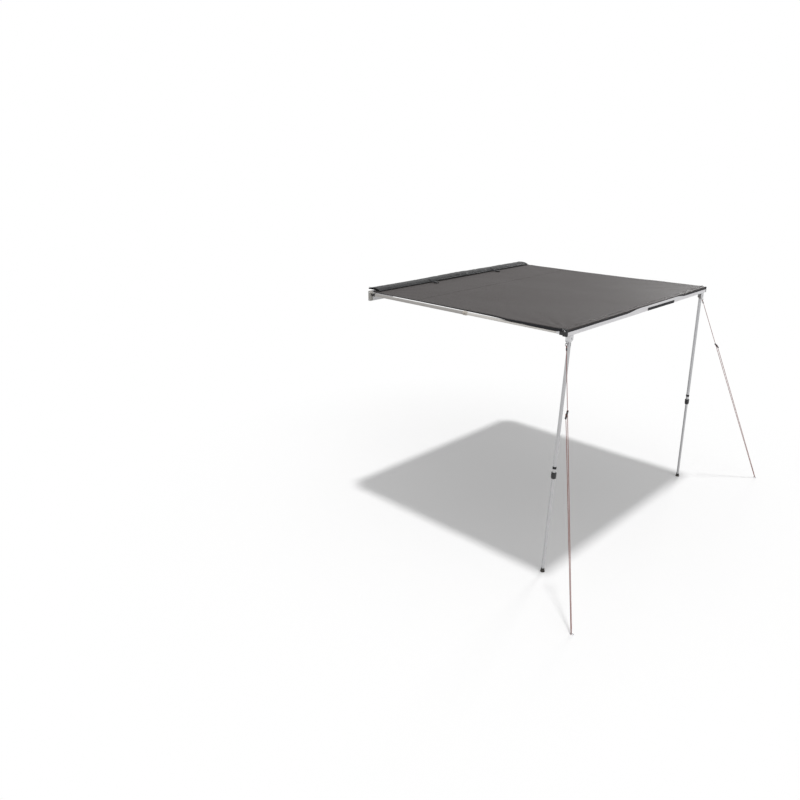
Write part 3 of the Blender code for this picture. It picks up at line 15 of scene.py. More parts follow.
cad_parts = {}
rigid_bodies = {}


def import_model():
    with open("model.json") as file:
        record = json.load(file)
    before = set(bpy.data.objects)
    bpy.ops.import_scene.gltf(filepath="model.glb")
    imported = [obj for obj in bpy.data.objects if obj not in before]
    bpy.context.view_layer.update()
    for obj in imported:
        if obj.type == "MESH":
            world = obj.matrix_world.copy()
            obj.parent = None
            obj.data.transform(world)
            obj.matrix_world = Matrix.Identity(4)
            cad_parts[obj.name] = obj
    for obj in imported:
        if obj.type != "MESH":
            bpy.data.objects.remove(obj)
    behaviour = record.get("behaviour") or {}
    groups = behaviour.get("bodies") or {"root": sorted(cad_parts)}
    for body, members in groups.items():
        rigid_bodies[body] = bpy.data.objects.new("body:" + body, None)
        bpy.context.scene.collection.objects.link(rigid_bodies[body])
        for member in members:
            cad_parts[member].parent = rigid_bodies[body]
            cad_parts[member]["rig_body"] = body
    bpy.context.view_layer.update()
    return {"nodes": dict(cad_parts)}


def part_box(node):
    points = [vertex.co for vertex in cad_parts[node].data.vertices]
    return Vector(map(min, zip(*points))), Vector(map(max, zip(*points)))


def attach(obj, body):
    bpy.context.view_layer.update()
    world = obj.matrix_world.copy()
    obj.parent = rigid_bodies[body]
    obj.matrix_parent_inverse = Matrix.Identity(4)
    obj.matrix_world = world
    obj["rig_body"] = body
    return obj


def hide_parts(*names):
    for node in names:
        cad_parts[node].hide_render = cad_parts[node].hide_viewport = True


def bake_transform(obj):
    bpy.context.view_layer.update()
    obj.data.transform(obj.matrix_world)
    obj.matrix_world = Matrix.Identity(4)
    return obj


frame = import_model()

bl_info = {
    "name": "Side awning looks",
    "version": (1, 0, 0),
    "blender": (4, 5, 0),
    "location": "3D View > Sidebar > Awning",
    "description": "Cloth, ropes, trim, small hardware and finishes of a side awning",
    "category": "Object",
}

NODES = frame["nodes"]
UP = Vector((0, 0, 1))
OUT = Vector((0, 1, 0))
ENDS = (("front", 1), ("rear", -1))

# Places that come from the CAD frame
RAIL_LOW, RAIL_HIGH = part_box("outer_rail")
RAIL_Y = (RAIL_LOW.y + RAIL_HIGH.y) / 2
HEM_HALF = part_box("canopy_hem")[1].x
END_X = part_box("front_end_bracket")[1].x

# Backboard, arms, rail, canopy and bag, as the CAD builds them
STAND_HEIGHT = 1.977
ARM_LEVEL = 0.015
ARM_X = 1.232
CANOPY_START = 0.0316
CANOPY_END = 2.066
CANOPY_BOARD_Z = 0.036
BOARD_TOP = 0.045
BOARD_FRONT = 0.030
BASE = 0.046
RAIL_TOP = 0.049
HEM_FLAP = 0.027
BAG_FRONT = 0.080
BAG_BACK = -0.072
BAG_LIP = 0.0378
BAG_HALF = 1.18
BAG_RISE = 0.020
BAG_STRAPS = (("front", 0.45), ("rear", -0.55))
ZIP_HALF = 1.176
ZIP_LEVEL = 0.0506
BEAD_RADIUS = 0.0026
BEAD_DROP = 0.0052
STRAP_THICKNESS = 0.0016
BAG_STRAP_WIDTH = 0.025
BUCKLE_BAR = 0.0017
BUCKLE_BAR_Y = 0.104
TIE_START = -0.03
TIE_LENGTH = 0.51
TIE_WIDTH = 0.024
LOOSE = 0.0003

# Cloth details that are only in the looks
SEAM_LIFT = 0.0005
STITCH_GAP = 0.0022
THREAD_RADIUS = 0.00034
SIDE_HEM_LOW = 0.0302
SIDE_HEM_HANG = 0.0064
HEM_OUTSIDE_ARM = (1.70, 1.78)
HEM_BACK_ABOVE_ARM = (1.990, 2.015)
HEM_THICKNESS = 0.0009
HEM_GROOVE_Y = RAIL_Y + 0.008
FLAP_DROP = 0.0215
FLAP_HELD_UP = 0.0150
BINDING_WIDTH = 0.0135
BINDING_HIDDEN = 0.0100
BAG_THICKNESS = 0.0009
PIPING_X = 1.1785
BAG_END_X = 1.1780
TOOTH_PITCH = 0.0024

# Legs and arm tubes, as the CAD builds them, and what is added to them
LEG_PIVOT = (1.175, 2.082, -0.030)
LEG_SPLAY = math.radians(3.0)
TUBE_RADIUS = 0.0140
ARM_TUBE_START = 0.052
RIVETS_ALONG = (0.041, 0.053)
RIVET_HEIGHT = TUBE_RADIUS - 0.0002
BAND_RADIUS = TUBE_RADIUS + 0.0016
BAND_WALL = 0.0015
SCREWS = (("bracket_screw_1", "fixed_frame", 0.015, 0.031),
          ("bracket_screw_2", "fixed_frame", 0.015, -0.034),
          ("cap_screw", "rail", RAIL_Y, 0.034))

# Guy ropes, as the CAD builds them, and the fuller braid between their fittings
ROPE_RADIUS = 0.0020
ROPE_FULL = 0.00245
RING_RADIUS = 0.0100
RING_DROP = 0.0107
RING_TURN = 0.0020 + LOOSE + ROPE_RADIUS
PEG_TURN = 0.0030 + LOOSE + ROPE_RADIUS
FERRULE_START = 0.016
FERRULE_END = FERRULE_START + 0.018
STRAND_OFFSET = 0.0024
LUG_HOLE_PLACE = (1.216, 2.082, -0.0603)
PEG_PLACE = (1.819, 2.682, -1.966)
SLIDER_SHARE = 0.235
SLIDER_SPAN = 0.050
SLIDER_TILT = math.radians(30.0)
BRAID_STRANDS = 4.0
BRAID_TURNS = 85.0
KNOT_RADIUS = 0.0016
KNOT_TURNS = 1.75
EYE_END = 0.0105

# The camera, the wide lamps as (width, bearing from +X, height) in degrees, and the floor
CAMERA_PLACE = (5.7265, 4.741, 1.285)
CAMERA_YAW = math.radians(224.01)
CAMERA_PITCH = math.radians(-19.461)
CAMERA_ROLL = math.radians(0.476)
SENSOR_WIDTH = 36.0
FRONT_LAMP = (60.0, 65.0, 20.0)
FAR_LAMP = (14.0, 192.0, 12.0)
WHITE = (1.0, 1.0, 1.0)
FLOOR_SIZE = 60.0
FLOOR_GREY = (0.62, 0.62, 0.62)
FLOOR_CENTRE = (0.3, 1.4, 0.0)
FLOOR_WHITE_FROM, FLOOR_WHITE_TO = 2.2, 4.2


def colour_setting(name, description, default):
    """A colour in the sidebar."""
    return bpy.props.FloatVectorProperty(
        name=name, description=description, default=default, min=0.0, max=1.0, subtype="COLOR")


def length_setting(name, description, default, low, high):
    """A length in the sidebar."""
    return bpy.props.FloatProperty(
        name=name, description=description, default=default, min=low, max=high,
        precision=4, unit="LENGTH")


def light_setting(name, description, default, high=10.0):
    """A light's strength in the sidebar."""
    return bpy.props.FloatProperty(
        name=name, description=description, default=default, min=0.0, max=high)


class ClothSettings(bpy.types.PropertyGroup):
    """Sizes and colours of the cloth parts."""

    canopy_colour: colour_setting(
        "Canopy colour", "Base colour of the coated canopy cloth", (0.0495, 0.0435, 0.0425))
    hem_colour: colour_setting(
        "Hem colour", "Colour of the bound side hems and the front hem", (0.020, 0.020, 0.024))
    bag_colour: colour_setting(
        "Bag colour", "Colour of the coated cover bag", (0.019, 0.020, 0.021))
    rope_colour: colour_setting(
        "Rope colour", "Colour of the braided guy ropes", (0.26, 0.070, 0.052))
    canopy_thickness: length_setting(
        "Canopy thickness", "Thickness of the canopy cloth with its coating",
        0.0008, 0.0003, 0.0011)
    seam_place: length_setting(
        "Seam place", "Distance of the canopy's cross seam from the backboard's rear face",
        0.56, 0.2, 1.9)
    seam_width: length_setting(
        "Seam width", "Width of the flat felled seam", 0.014, 0.006, 0.030)
    hem_width: length_setting(
        "Side hem width", "Width of the binding along the canopy's side edges",
        0.020, 0.008, 0.040)
    stitch_length: length_setting(
        "Stitch length", "Length of one lockstitch", 0.0045, 0.002, 0.010)
    wrinkle_height: length_setting(
        "Wrinkle height", "Height of the canopy's tension wrinkles near its corners",
        0.0016, 0.0, 0.006)
    bag_crumple: length_setting(
        "Bag crumple", "Depth of the folds in the laid-back cover bag", 0.0050, 0.0, 0.015)


class HardwareSettings(bpy.types.PropertyGroup):
    """Sizes and colours of tubes, castings and small hardware."""

    edge_radius: length_setting(
        "Edge radius", "Rounding of the edges of castings and moulded parts",
        0.0006, 0.0001, 0.002)
    screw_radius: length_setting(
        "Screw head radius", "Radius of the button head screws", 0.0046, 0.002, 0.008)
    rivet_radius: length_setting(
        "Rivet radius", "Radius of the pop rivets' heads", 0.0040, 0.002, 0.006)
    band_place: length_setting(
        "Band place", "Distance of the leg's rubber band from the leg's pivot", 1.032, 0.5, 1.06)
    band_width: length_setting(
        "Band width", "Width of the rubber band on each leg's outer tube", 0.020, 0.008, 0.030)
    tube_colour: colour_setting(
        "Tube colour", "Colour of the anodised legs and backboard", (0.50, 0.50, 0.51))
    arm_colour: colour_setting(
        "Arm colour", "Colour of the arms' warm silver outer tubes", (0.37, 0.355, 0.34))
    rail_colour: colour_setting(
        "Rail colour", "Colour of the powder coated outer rail", (0.86, 0.85, 0.87))


class StageSettings(bpy.types.PropertyGroup):
    """Light and camera of the stage."""

    sky_strength: light_setting(
        "Sky light", "Strength of the even light from all round", 0.345, 2.0)
    top_strength: light_setting(
        "Top light", "Irradiance on the floor of the soft light from above", 1.52)
    top_width: length_setting(
        "Top light width", "Diameter of the light from above", 2.2, 0.0, 5.0)
    top_place: bpy.props.FloatVectorProperty(
        name="Top light place", description="Where the light above hangs",
        default=(0.46, 1.87, 26.6), subtype="TRANSLATION", unit="LENGTH")
    front_strength: light_setting(
        "Front light", "Irradiance of the wide light from the camera's side", 0.85)
    far_strength: light_setting(
        "Far light", "Irradiance of the low light from beyond the canopy's far corner", 1.40)
    lens: bpy.props.FloatProperty(
        name="Lens", description="Focal length of the camera on a 36 mm wide sensor",
        default=32.083, min=10.0, max=200.0, subtype="DISTANCE_CAMERA", unit="CAMERA")


def add_node(tree, kind, inputs=(), **settings):
    """Add a node, set its properties, and fill or link its inputs."""
    made = tree.nodes.new(kind)
    for key, value in settings.items():
        setattr(made, key, value)
    for key, value in dict(inputs).items():
        if isinstance(value, bpy.types.NodeSocket):
            tree.links.new(value, made.inputs[key])
        else:
            made.inputs[key].default_value = value
    return made


def add_tint(tree, share, first, second):
    """A colour between two colours or colour sockets."""
    ends = [value if isinstance(value, bpy.types.NodeSocket) else (*value, 1.0)
            for value in (first, second)]
    return add_node(tree, "ShaderNodeMix", {0: share, 6: ends[0], 7: ends[1]},
                    data_type="RGBA").outputs[2]


class Finish:
    """A node material in the making: one Principled shader and what feeds it."""

    def __init__(self, name, colour, roughness, metallic, **sockets):
        self.material = bpy.data.materials.new(name)
        self.material.use_nodes = True
        self.material.diffuse_color = (*colour, 1.0)
        self.tree = self.material.node_tree
        self.shader = self.tree.nodes["Principled BSDF"]
        self.colour = tuple(colour)
        plain = {"Base_Color": (*colour, 1.0), "Roughness": roughness, "Metallic": metallic}
        for socket, value in {**plain, **sockets}.items():
            self.shader.inputs[socket.replace("_", " ")].default_value = value

    def value(self, kind, inputs=(), output=0, **settings):
        """One output of a new node."""
        return add_node(self.tree, kind, inputs, **settings).outputs[output]

    def place(self, scale=(1, 1, 1), turn=(0, 0, 0), source="Object"):
        """The piece's own coordinates, turned and then scaled."""
        coordinates = self.value("ShaderNodeTexCoord", output=source)
        turned = self.value("ShaderNodeMapping", {"Vector": coordinates, "Rotation": turn})
        return self.value("ShaderNodeMapping", {"Vector": turned, "Scale": scale})

    def grain(self, vector, scale, detail, roughness=0.5):
        """A noise value from 0 to 1."""
        return self.value("ShaderNodeTexNoise", {
            "Vector": vector, "Scale": scale, "Detail": detail, "Roughness": roughness})

    def cells(self, vector, scale):
        """Distance to the nearest point of a scattered set."""
        return self.value("ShaderNodeTexVoronoi", {"Vector": vector, "Scale": scale}, "Distance")

    def bands(self, vector, scale, axis="X"):
        """Rounded ridges across one axis."""
        return self.value("ShaderNodeTexWave", {"Vector": vector, "Scale": scale}, "Fac",
                          wave_type="BANDS", bands_direction=axis, wave_profile="SIN")

    def sums(self, kind, first, second):
        """Arithmetic on two values."""
        return self.value("ShaderNodeMath", {0: first, 1: second}, operation=kind)

    def spread(self, value, low, high, new_low=0.0, new_high=1.0):
        """Stretch a value from one range to another."""
        return self.value("ShaderNodeMapRange", {
            "Value": value, "From Min": low, "From Max": high,
            "To Min": new_low, "To Max": new_high})

    def tint(self, share, first, second):
        """A colour between two colours or colour sockets."""
        return add_tint(self.tree, share, first, second)

    def shade(self, factor):
        """This finish's colour, darker or lighter by a factor."""
        return tuple(min(channel * factor, 1.0) for channel in self.colour)

    def patches(self, tone, value, low, high, share, factor):
        """A tone that goes up to a share towards this finish's shade as a value rises."""
        return self.tint(self.spread(value, low, high, 0.0, share), tone, self.shade(factor))

    def relief(self, height, distance, strength, below=None):
        """Bump from a height value, on top of another bump if one is given."""
        inputs = {"Height": height, "Distance": distance, "Strength": strength}
        if below is not None:
            inputs["Normal"] = below
        return self.value("ShaderNodeBump", inputs)

    def feed(self, tone, rough, bump):
        """Link colour, roughness and bump to the shader."""
        for socket, value in (("Base Color", tone), ("Roughness", rough), ("Normal", bump)):
            self.tree.links.new(value, self.shader.inputs[socket])


def anodised(name, colour, along, turn=(0, 0, 0), roughness=0.34):
    """Anodised aluminium with fine draw lines along one axis and a few handling marks."""
    made = Finish(name, colour, roughness, 0.82, Specular_IOR_Level=0.5)
    stretch = [260.0, 260.0, 260.0]
    stretch["XYZ".index(along)] = 1.2
    lines = made.grain(made.place(stretch, turn), 3.0, 4.0, 0.6)
    clouds = made.grain(made.place(turn=turn), 9.0, 3.0)
    worn = made.spread(made.cells(made.place(turn=turn), 55.0), 0.0, 0.09, 1.0, 0.0)
    tone = made.tint(lines, made.shade(0.86), made.shade(1.08))
    tone = made.patches(tone, clouds, 0.35, 0.75, 0.35, 0.80)
    tone = made.tint(made.sums("MULTIPLY", worn, 0.25), tone, made.shade(1.35))
    rough = made.sums("ADD", made.spread(lines, 0.3, 0.7, -0.06, 0.07),
                      made.spread(clouds, 0.3, 0.7, roughness - 0.04, roughness + 0.06))
    made.feed(tone, rough, made.relief(lines, 0.00004, 0.7))


def powder_coat(name, colour):
    """Powder coated aluminium: orange peel and faint dust."""
    made = Finish(name, colour, 0.36, 0.0, Coat_Weight=0.15, Coat_Roughness=0.25)
    peel = made.grain(made.place(), 420.0, 2.0)
    dust = made.grain(made.place((0.5, 1, 1)), 16.0, 5.0, 0.6)
    tone = made.patches(made.colour, dust, 0.42, 0.80, 0.5, 0.84)
    made.feed(tone, made.spread(dust, 0.3, 0.8, 0.32, 0.50), made.relief(peel, 0.00012, 0.6))


def plated_steel(name, colour):
    """Zinc plated steel: mottled, with fine scratches."""
    made = Finish(name, colour, 0.30, 1.0)
    mottle = made.grain(made.place(), 130.0, 4.0, 0.65)
    scratches = made.grain(made.place((40, 900, 900)), 1.0, 2.0)
    tone = made.tint(mottle, made.shade(0.72), made.shade(1.18))
    rough = made.spread(mottle, 0.25, 0.75, 0.22, 0.46)
    made.feed(tone, rough, made.relief(scratches, 0.00005, 0.6))


def moulded(name, colour, roughness=0.46):
    """Moulded nylon: spark-eroded grain, slightly blotched, dusty in places."""
    made = Finish(name, colour, roughness, 0.0, Specular_IOR_Level=0.45)
    grain = made.grain(made.place(), 900.0, 2.0, 0.6)
    blotches = made.grain(made.place(), 45.0, 4.0)
    tone = made.patches(made.shade(0.80), blotches, 0.35, 0.75, 1.0, 1.55)
    rough = made.spread(blotches, 0.3, 0.7, roughness - 0.07, roughness + 0.10)
    made.feed(tone, rough, made.relief(grain, 0.00010, 0.8))


def moulded_rubber(name, colour):
    """Rubber: matt, pitted, and dusty towards the ground."""
    made = Finish(name, colour, 0.78, 0.0, Specular_IOR_Level=0.3)
    pits = made.cells(made.place(), 520.0)
    dust = made.grain(made.place(), 70.0, 5.0, 0.65)
    height = made.value("ShaderNodeSeparateXYZ", {0: made.place()}, "Z")
    near_ground = made.spread(height, 0.040 - STAND_HEIGHT, -STAND_HEIGHT)
    share = made.sums("MULTIPLY", near_ground, made.spread(dust, 0.35, 0.70, 0.1, 0.8))
    tone = made.tint(share, made.colour, (0.16, 0.145, 0.12))
    made.feed(tone, made.spread(dust, 0.3, 0.7, 0.70, 0.92), made.relief(pits, 0.00025, 0.7))


def canopy_cloth(name, colour):
    """Coated ripstop: plain weave with a reinforcing grid, weather-washed, faintly creased."""
    made = Finish(name, colour, 0.62, 0.0, Sheen_Weight=0.02, Sheen_Roughness=0.5,
                  Specular_IOR_Level=0.10)
    place = made.place(source="UV")
    weave = made.sums("MULTIPLY", *(made.bands(place, 360.0, axis) for axis in "XY"))
    grid = made.sums("MAXIMUM", *(made.spread(made.bands(place, 31.4, axis), 0.97, 1.0)
                                  for axis in "XY"))
    washed = made.grain(made.place((1.0, 0.5, 1.0), source="UV"), 1.6, 5.0, 0.55)
    spots = made.grain(place, 24.0, 4.0, 0.6)
    tone = made.patches(made.shade(0.92), washed, 0.3, 0.7, 1.0, 1.10)
    tone = made.patches(tone, spots, 0.55, 0.80, 0.35, 1.22)
    tone = made.tint(made.sums("MULTIPLY", grid, 0.30), tone, made.shade(0.70))
    tone = made.tint(made.sums("MULTIPLY", weave, 0.25), tone, made.shade(1.30))
    slack = made.grain(made.place((1.0, 2.2, 1.0), source="UV"), 3.0, 3.0)
    threads = made.relief(weave, 0.00012, 0.5, made.relief(slack, 0.004, 0.25))
    made.feed(tone, made.spread(washed, 0.3, 0.7, 0.54, 0.66),
              made.relief(grid, 0.00015, 0.5, threads))


def ribbed_cloth(name, colour, rib, direction, roughness=0.82, fleck=1.9):
    """Woven tape: ribs across UV, thread flecks and lighter rubbed threads."""
    made = Finish(name, colour, roughness, 0.0, Sheen_Weight=0.12, Sheen_Roughness=0.45,
                  Specular_IOR_Level=0.3)
    place = made.place(source="UV")
    ribs = made.bands(place, rib, direction)
    cross = made.bands(place, rib * 0.45, "Y" if direction == "X" else "X")
    thread = made.sums("MULTIPLY", ribs, made.spread(cross, 0.0, 1.0, 0.55, 1.0))
    rubbed = made.grain(place, 60.0, 5.0, 0.65)
    tone = made.tint(thread, made.shade(0.70), made.shade(1.25))
    tone = made.patches(tone, rubbed, 0.52, 0.78, 0.6, fleck)
    rough = made.spread(rubbed, 0.3, 0.7, roughness - 0.05, roughness + 0.08)
    made.feed(tone, rough, made.relief(thread, 0.0003, 0.6))


def coated_vinyl(name, colour):
    """Coated bag cloth: embossed pebbles over a coarse weave, scuffed and dusty in patches."""
    made = Finish(name, colour, 0.46, 0.0, Specular_IOR_Level=0.14)
    place = made.place(source="UV")
    pebbles = made.cells(place, 620.0)
    weave = made.sums("MULTIPLY", *(made.bands(place, 250.0, axis) for axis in "XY"))
    dust = made.grain(place, 14.0, 6.0, 0.62)
    scuffs = made.grain(made.place((6, 60, 1), source="UV"), 2.0, 4.0, 0.7)
    tone = made.patches(made.shade(0.80), dust, 0.40, 0.75, 0.55, 1.75)
    tone = made.patches(tone, scuffs, 0.62, 0.80, 0.35, 2.4)
    cloth = made.relief(weave, 0.00025, 0.45)
    made.feed(tone, made.spread(dust, 0.3, 0.75, 0.38, 0.60),
              made.relief(pebbles, 0.00020, 0.5, cloth))


def braided_rope(name, colour):
    """Braided cord: crossing strands, a tracer yarn, and fading in patches."""
    made = Finish(name, colour, 0.80, 0.0, Sheen_Weight=0.15, Sheen_Roughness=0.5,
                  Specular_IOR_Level=0.25)
    parts = add_node(made.tree, "ShaderNodeSeparateXYZ", {0: made.place(source="UV")}).outputs
    around = made.sums("MULTIPLY", parts[0], BRAID_STRANDS)
    along = made.sums("MULTIPLY", parts[1], BRAID_TURNS)
    one, two = (made.sums("SINE", made.sums("MULTIPLY", made.sums(kind, around, along),
                                            2 * math.pi), 0.0) for kind in ("ADD", "SUBTRACT"))
    strands = made.spread(made.sums("MULTIPLY", one, two), -1.0, 1.0)
    tracer = made.spread(one, 0.90, 1.0, 0.0, 0.7)
    fading = made.grain(made.place((2.0, 9.0, 1.0), source="UV"), 1.0, 4.0)
    tone = made.tint(strands, made.shade(0.80), made.shade(1.15))
    tone = made.patches(tone, fading, 0.35, 0.75, 0.5, 1.25)
    tone = made.tint(tracer, tone, made.shade(0.72))
    made.feed(tone, made.spread(fading, 0.3, 0.7, 0.74, 0.90), made.relief(strands, 0.0004, 0.7))


def make_finishes(cloth, hardware):
    """Make all finishes, under the names that the pieces use."""
    anodised("anodised_board", hardware.tube_colour, "X")
    for end, side in ENDS:
        anodised(f"anodised_{end}_leg", hardware.tube_colour, "Z", (0, side * LEG_SPLAY, 0))
    anodised("warm_arm_tube", hardware.arm_colour, "Y")
    anodised("bright_inner_tube", (0.60, 0.58, 0.55), "Y")
    anodised("warm_casting", (0.34, 0.33, 0.31), "Z", roughness=0.50)
    anodised("satin_bracket", (0.66, 0.66, 0.67), "X", roughness=0.40)
    powder_coat("white_rail_coat", hardware.rail_colour)
    plated_steel("plated_steel", (0.52, 0.52, 0.53))
    plated_steel("dark_steel", (0.13, 0.115, 0.11))
    moulded("black_moulding", (0.018, 0.018, 0.020))
    moulded("grey_moulding", (0.33, 0.32, 0.31))
    moulded("warm_moulding", (0.40, 0.37, 0.33))
    moulded_rubber("black_rubber", (0.022, 0.022, 0.024))
    canopy_cloth("canopy_ripstop", cloth.canopy_colour)
    coated_vinyl("bag_coated_cloth", cloth.bag_colour)
    ribbed_cloth("grosgrain_binding", cloth.hem_colour, 900.0, "Y")
    ribbed_cloth("strap_webbing", (0.016, 0.016, 0.019), 420.0, "X", 0.84)
    ribbed_cloth("zip_tape_cloth", (0.014, 0.014, 0.016), 1400.0, "Y", 0.86)
    ribbed_cloth("sewing_thread", (0.030, 0.030, 0.033), 1500.0, "Y", 0.6, 1.4)
    braided_rope("braided_guy_rope", cloth.rope_colour)


# Finishes of the CAD nodes that stay, and of those that each end has
CAD_FINISHES = {
    "anodised_board": "backboard",
    "anodised_front_leg": "front_leg_outer_tube front_leg_inner_tube",
    "anodised_rear_leg": "rear_leg_outer_tube rear_leg_inner_tube",
    "white_rail_coat": "outer_rail",
    "grosgrain_binding": "canopy_keder",
    "plated_steel": "bag_zip_slider rack_bolt_1 rack_bolt_2 rack_bolt_3 rack_bolt_4 "
                    "rack_nut_1 rack_nut_2 rack_nut_3 rack_nut_4",
}
END_FINISHES = {
    "warm_arm_tube": "arm_outer_tube",
    "bright_inner_tube": "arm_inner_tube",
    "plated_steel": "arm_pivot_pin leg_pivot_pin guy_peg",
    "dark_steel": "guy_ring",
    "black_moulding": "guy_ferrule",
}

# Castings and mouldings of each end: finish, slot, share of the edge radius
ROUNDED = {
    "end_bracket": ("warm_casting", "warm_alloy", 1.0),
    "arm_knuckle": ("black_moulding", "black_plastic", 1.0),
    "arm_tip": ("satin_bracket", "alloy", 0.8),
    "arm_twist_lock": ("warm_moulding", "grey_plastic", 0.6),
    "rail_cap": ("black_moulding", "black_plastic", 1.0),
    "leg_bracket": ("satin_bracket", "white_alloy", 0.8),
    "leg_knuckle": ("grey_moulding", "grey_plastic", 1.0),
    "leg_twist_lock": ("black_moulding", "black_plastic", 0.6),
    "leg_foot": ("black_rubber", "rubber", 1.0),
    "bag_buckle": ("black_moulding", "black_plastic", 0.8),
    "guy_slider": ("black_moulding", "black_plastic", 1.0),
}


def coat(piece, material):
    """Give a piece one of the finishes."""
    piece.data.materials.clear()
    piece.data.materials.append(bpy.data.materials[material])


def belongs(piece, body):
    """Give a piece the body that it rides on."""
    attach(piece, body)


def deselect_all():
    """Leave nothing selected."""
    if bpy.context.mode != "OBJECT":
        bpy.ops.object.mode_set(mode="OBJECT")
    bpy.ops.object.select_all(action="DESELECT")


def activate(piece):
    """Make a piece the only selected one."""
    deselect_all()
    piece.select_set(True)
    bpy.context.view_layer.objects.active = piece


def on_all_faces(piece, *steps):
    """Run mesh operators, each with its settings, on the whole of a piece."""
    activate(piece)
    bpy.ops.object.mode_set(mode="EDIT")
    bpy.ops.mesh.select_all(action="SELECT")
    for operator, settings in steps:
        operator(**settings)
    bpy.ops.object.mode_set(mode="OBJECT")


def weld(piece):
    """Merge a piece's vertices that lie in one place."""
    on_all_faces(piece, (bpy.ops.mesh.remove_doubles, {"threshold": 0.00001}))


def face_outwards(piece):
    """Turn a closed piece's faces outwards."""
    on_all_faces(piece, (bpy.ops.mesh.normals_make_consistent, {"inside": False}))


def face_towards(piece, way):
    """Turn a sheet's faces so that they point towards a direction on the whole."""
    total = Vector((0, 0, 0))
    for face in piece.data.polygons:
        total += face.normal * face.area
    if total.dot(Vector(way)) < 0:
        piece.data.flip_normals()


def apply_modifier(piece, kind, **settings):
    """Change a piece by a modifier and apply it."""
    activate(piece)
    modifier = piece.modifiers.new(kind.lower(), kind)
    for key, value in settings.items():
        setattr(modifier, key, value)
    bpy.ops.object.modifier_apply(modifier=modifier.name)


def thicken(piece, thickness):
    """Give a sheet its thickness, half on each side."""
    apply_modifier(piece, "SOLIDIFY", thickness=thickness, offset=0.0)


def mesh_piece(name, mesh, material):
    """A new object in the scene from a mesh, with one finish."""
    piece = bpy.data.objects.new(name, mesh)
    bpy.context.scene.collection.objects.link(piece)
    coat(piece, material)
    return piece


def faces_piece(name, vertices, faces, material, uvs=None):
    """A piece from vertices and faces, smooth where each vertex has a UV place in metres."""
    mesh = bpy.data.meshes.new(name)
    mesh.from_pydata([tuple(vertex) for vertex in vertices], [], faces)
    if uvs is not None:
        layer = mesh.uv_layers.new(name="cloth_metres")
        corners = [loop.vertex_index for loop in mesh.loops]
        layer.data.foreach_set("uv", np.asarray(uvs, float).reshape(-1, 2)[corners].ravel())
        mesh.shade_smooth()
    return mesh_piece(name, mesh, material)


def grid_piece(name, points, uvs, material):
    """A smooth quad sheet from rows of points."""
    points = np.asarray(points, float)
    rows, columns = points.shape[:2]
    faces = [(first, first + 1, first + columns + 1, first + columns)
             for start in range(0, (rows - 1) * columns, columns)
             for first in range(start, start + columns - 1)]
    return faces_piece(name, points.reshape(-1, 3), faces, material, uvs)


def closed_piece(name, rings, uvs, tips, material):
    """A closed piece from rings of points that run to a tip at both ends."""
    first, last = ([tip] * len(rings[0]) for tip in tips)
    piece = grid_piece(name, [first, *rings, last], [uvs[0], *uvs, uvs[-1]], material)
    weld(piece)
    face_outwards(piece)
    return piece


def lengths_along(points):
    """Running length at each point of a path."""
    steps = np.linalg.norm(np.diff(np.asarray(points, float), axis=0), axis=1)
    return np.concatenate([[0.0], np.cumsum(steps)])


def resampled(points, count):
    """The same path with evenly spaced points."""
    points = np.asarray(points, float)
    along = lengths_along(points)
    wanted = np.linspace(0.0, along[-1], count)
    return np.stack([np.interp(wanted, along, column) for column in points.T], 1)


def relaxed(points, rounds, share=0.5):
    """A path with its corners eased, its ends kept."""
    points = np.array(points, float)
    for _ in range(rounds):
        middle = (points[:-2] + points[2:]) / 2
        points[1:-1] += (middle - points[1:-1]) * share
    return points


def directions(path):
    """The unit direction of a path at each of its points."""
    tangents = np.gradient(np.asarray(path, float), axis=0)
    return tangents / np.linalg.norm(tangents, axis=1)[:, None]


def cloth_noise(x, y, z, scale):
    """Smooth noise from -1 to 1."""
    return noise.noise(Vector((x * scale, y * scale, z * scale)))


def eased(value, low, high):
    """A smooth step from 0 to 1 while a value goes from low to high."""
    share = min(max((value - low) / (high - low), 0.0), 1.0)
    return share * share * (3 - 2 * share)


def swept(name, path, radius, sides, material, profile=None):
    """A closed round tube along a path: UV is (share round it, metres along it)."""
    path = np.asarray(path, float)
    along = lengths_along(path)
    tangents = directions(path)
    across = np.cross(tangents[0], (0.0, 0.0, 1.0))
    if np.linalg.norm(across) < 0.1:
        across = np.cross(tangents[0], (1.0, 0.0, 0.0))
    rings, uvs = [], []
    for index, tangent in enumerate(tangents):
        across = across - tangent * np.dot(across, tangent)
        across /= np.linalg.norm(across)
        lift = np.cross(tangent, across)
        ring = []
        for share in (side / sides for side in range(sides + 1)):
            angle = 2 * math.pi * share
            reach = radius * (1.0 if profile is None else profile(share, along[index]))
            ring.append(path[index] + (across * math.cos(angle) + lift * math.sin(angle)) * reach)
        rings.append(ring)
        uvs.append([(side / sides, along[index]) for side in range(sides + 1)])
    tips = (path[0] - tangents[0] * radius * 0.35, path[-1] + tangents[-1] * radius * 0.35)
    return closed_piece(name, rings, uvs, tips, material)


def ring_faces(first, rings, sides):
    """Quads that join rings of vertices, one after the other."""
    faces = []
    for low in range(first, first + (rings - 1) * sides, sides):
        for side in range(sides):
            after = (side + 1) % sides
            faces.append((low + side, low + after, low + sides + after, low + sides + side))
    return faces


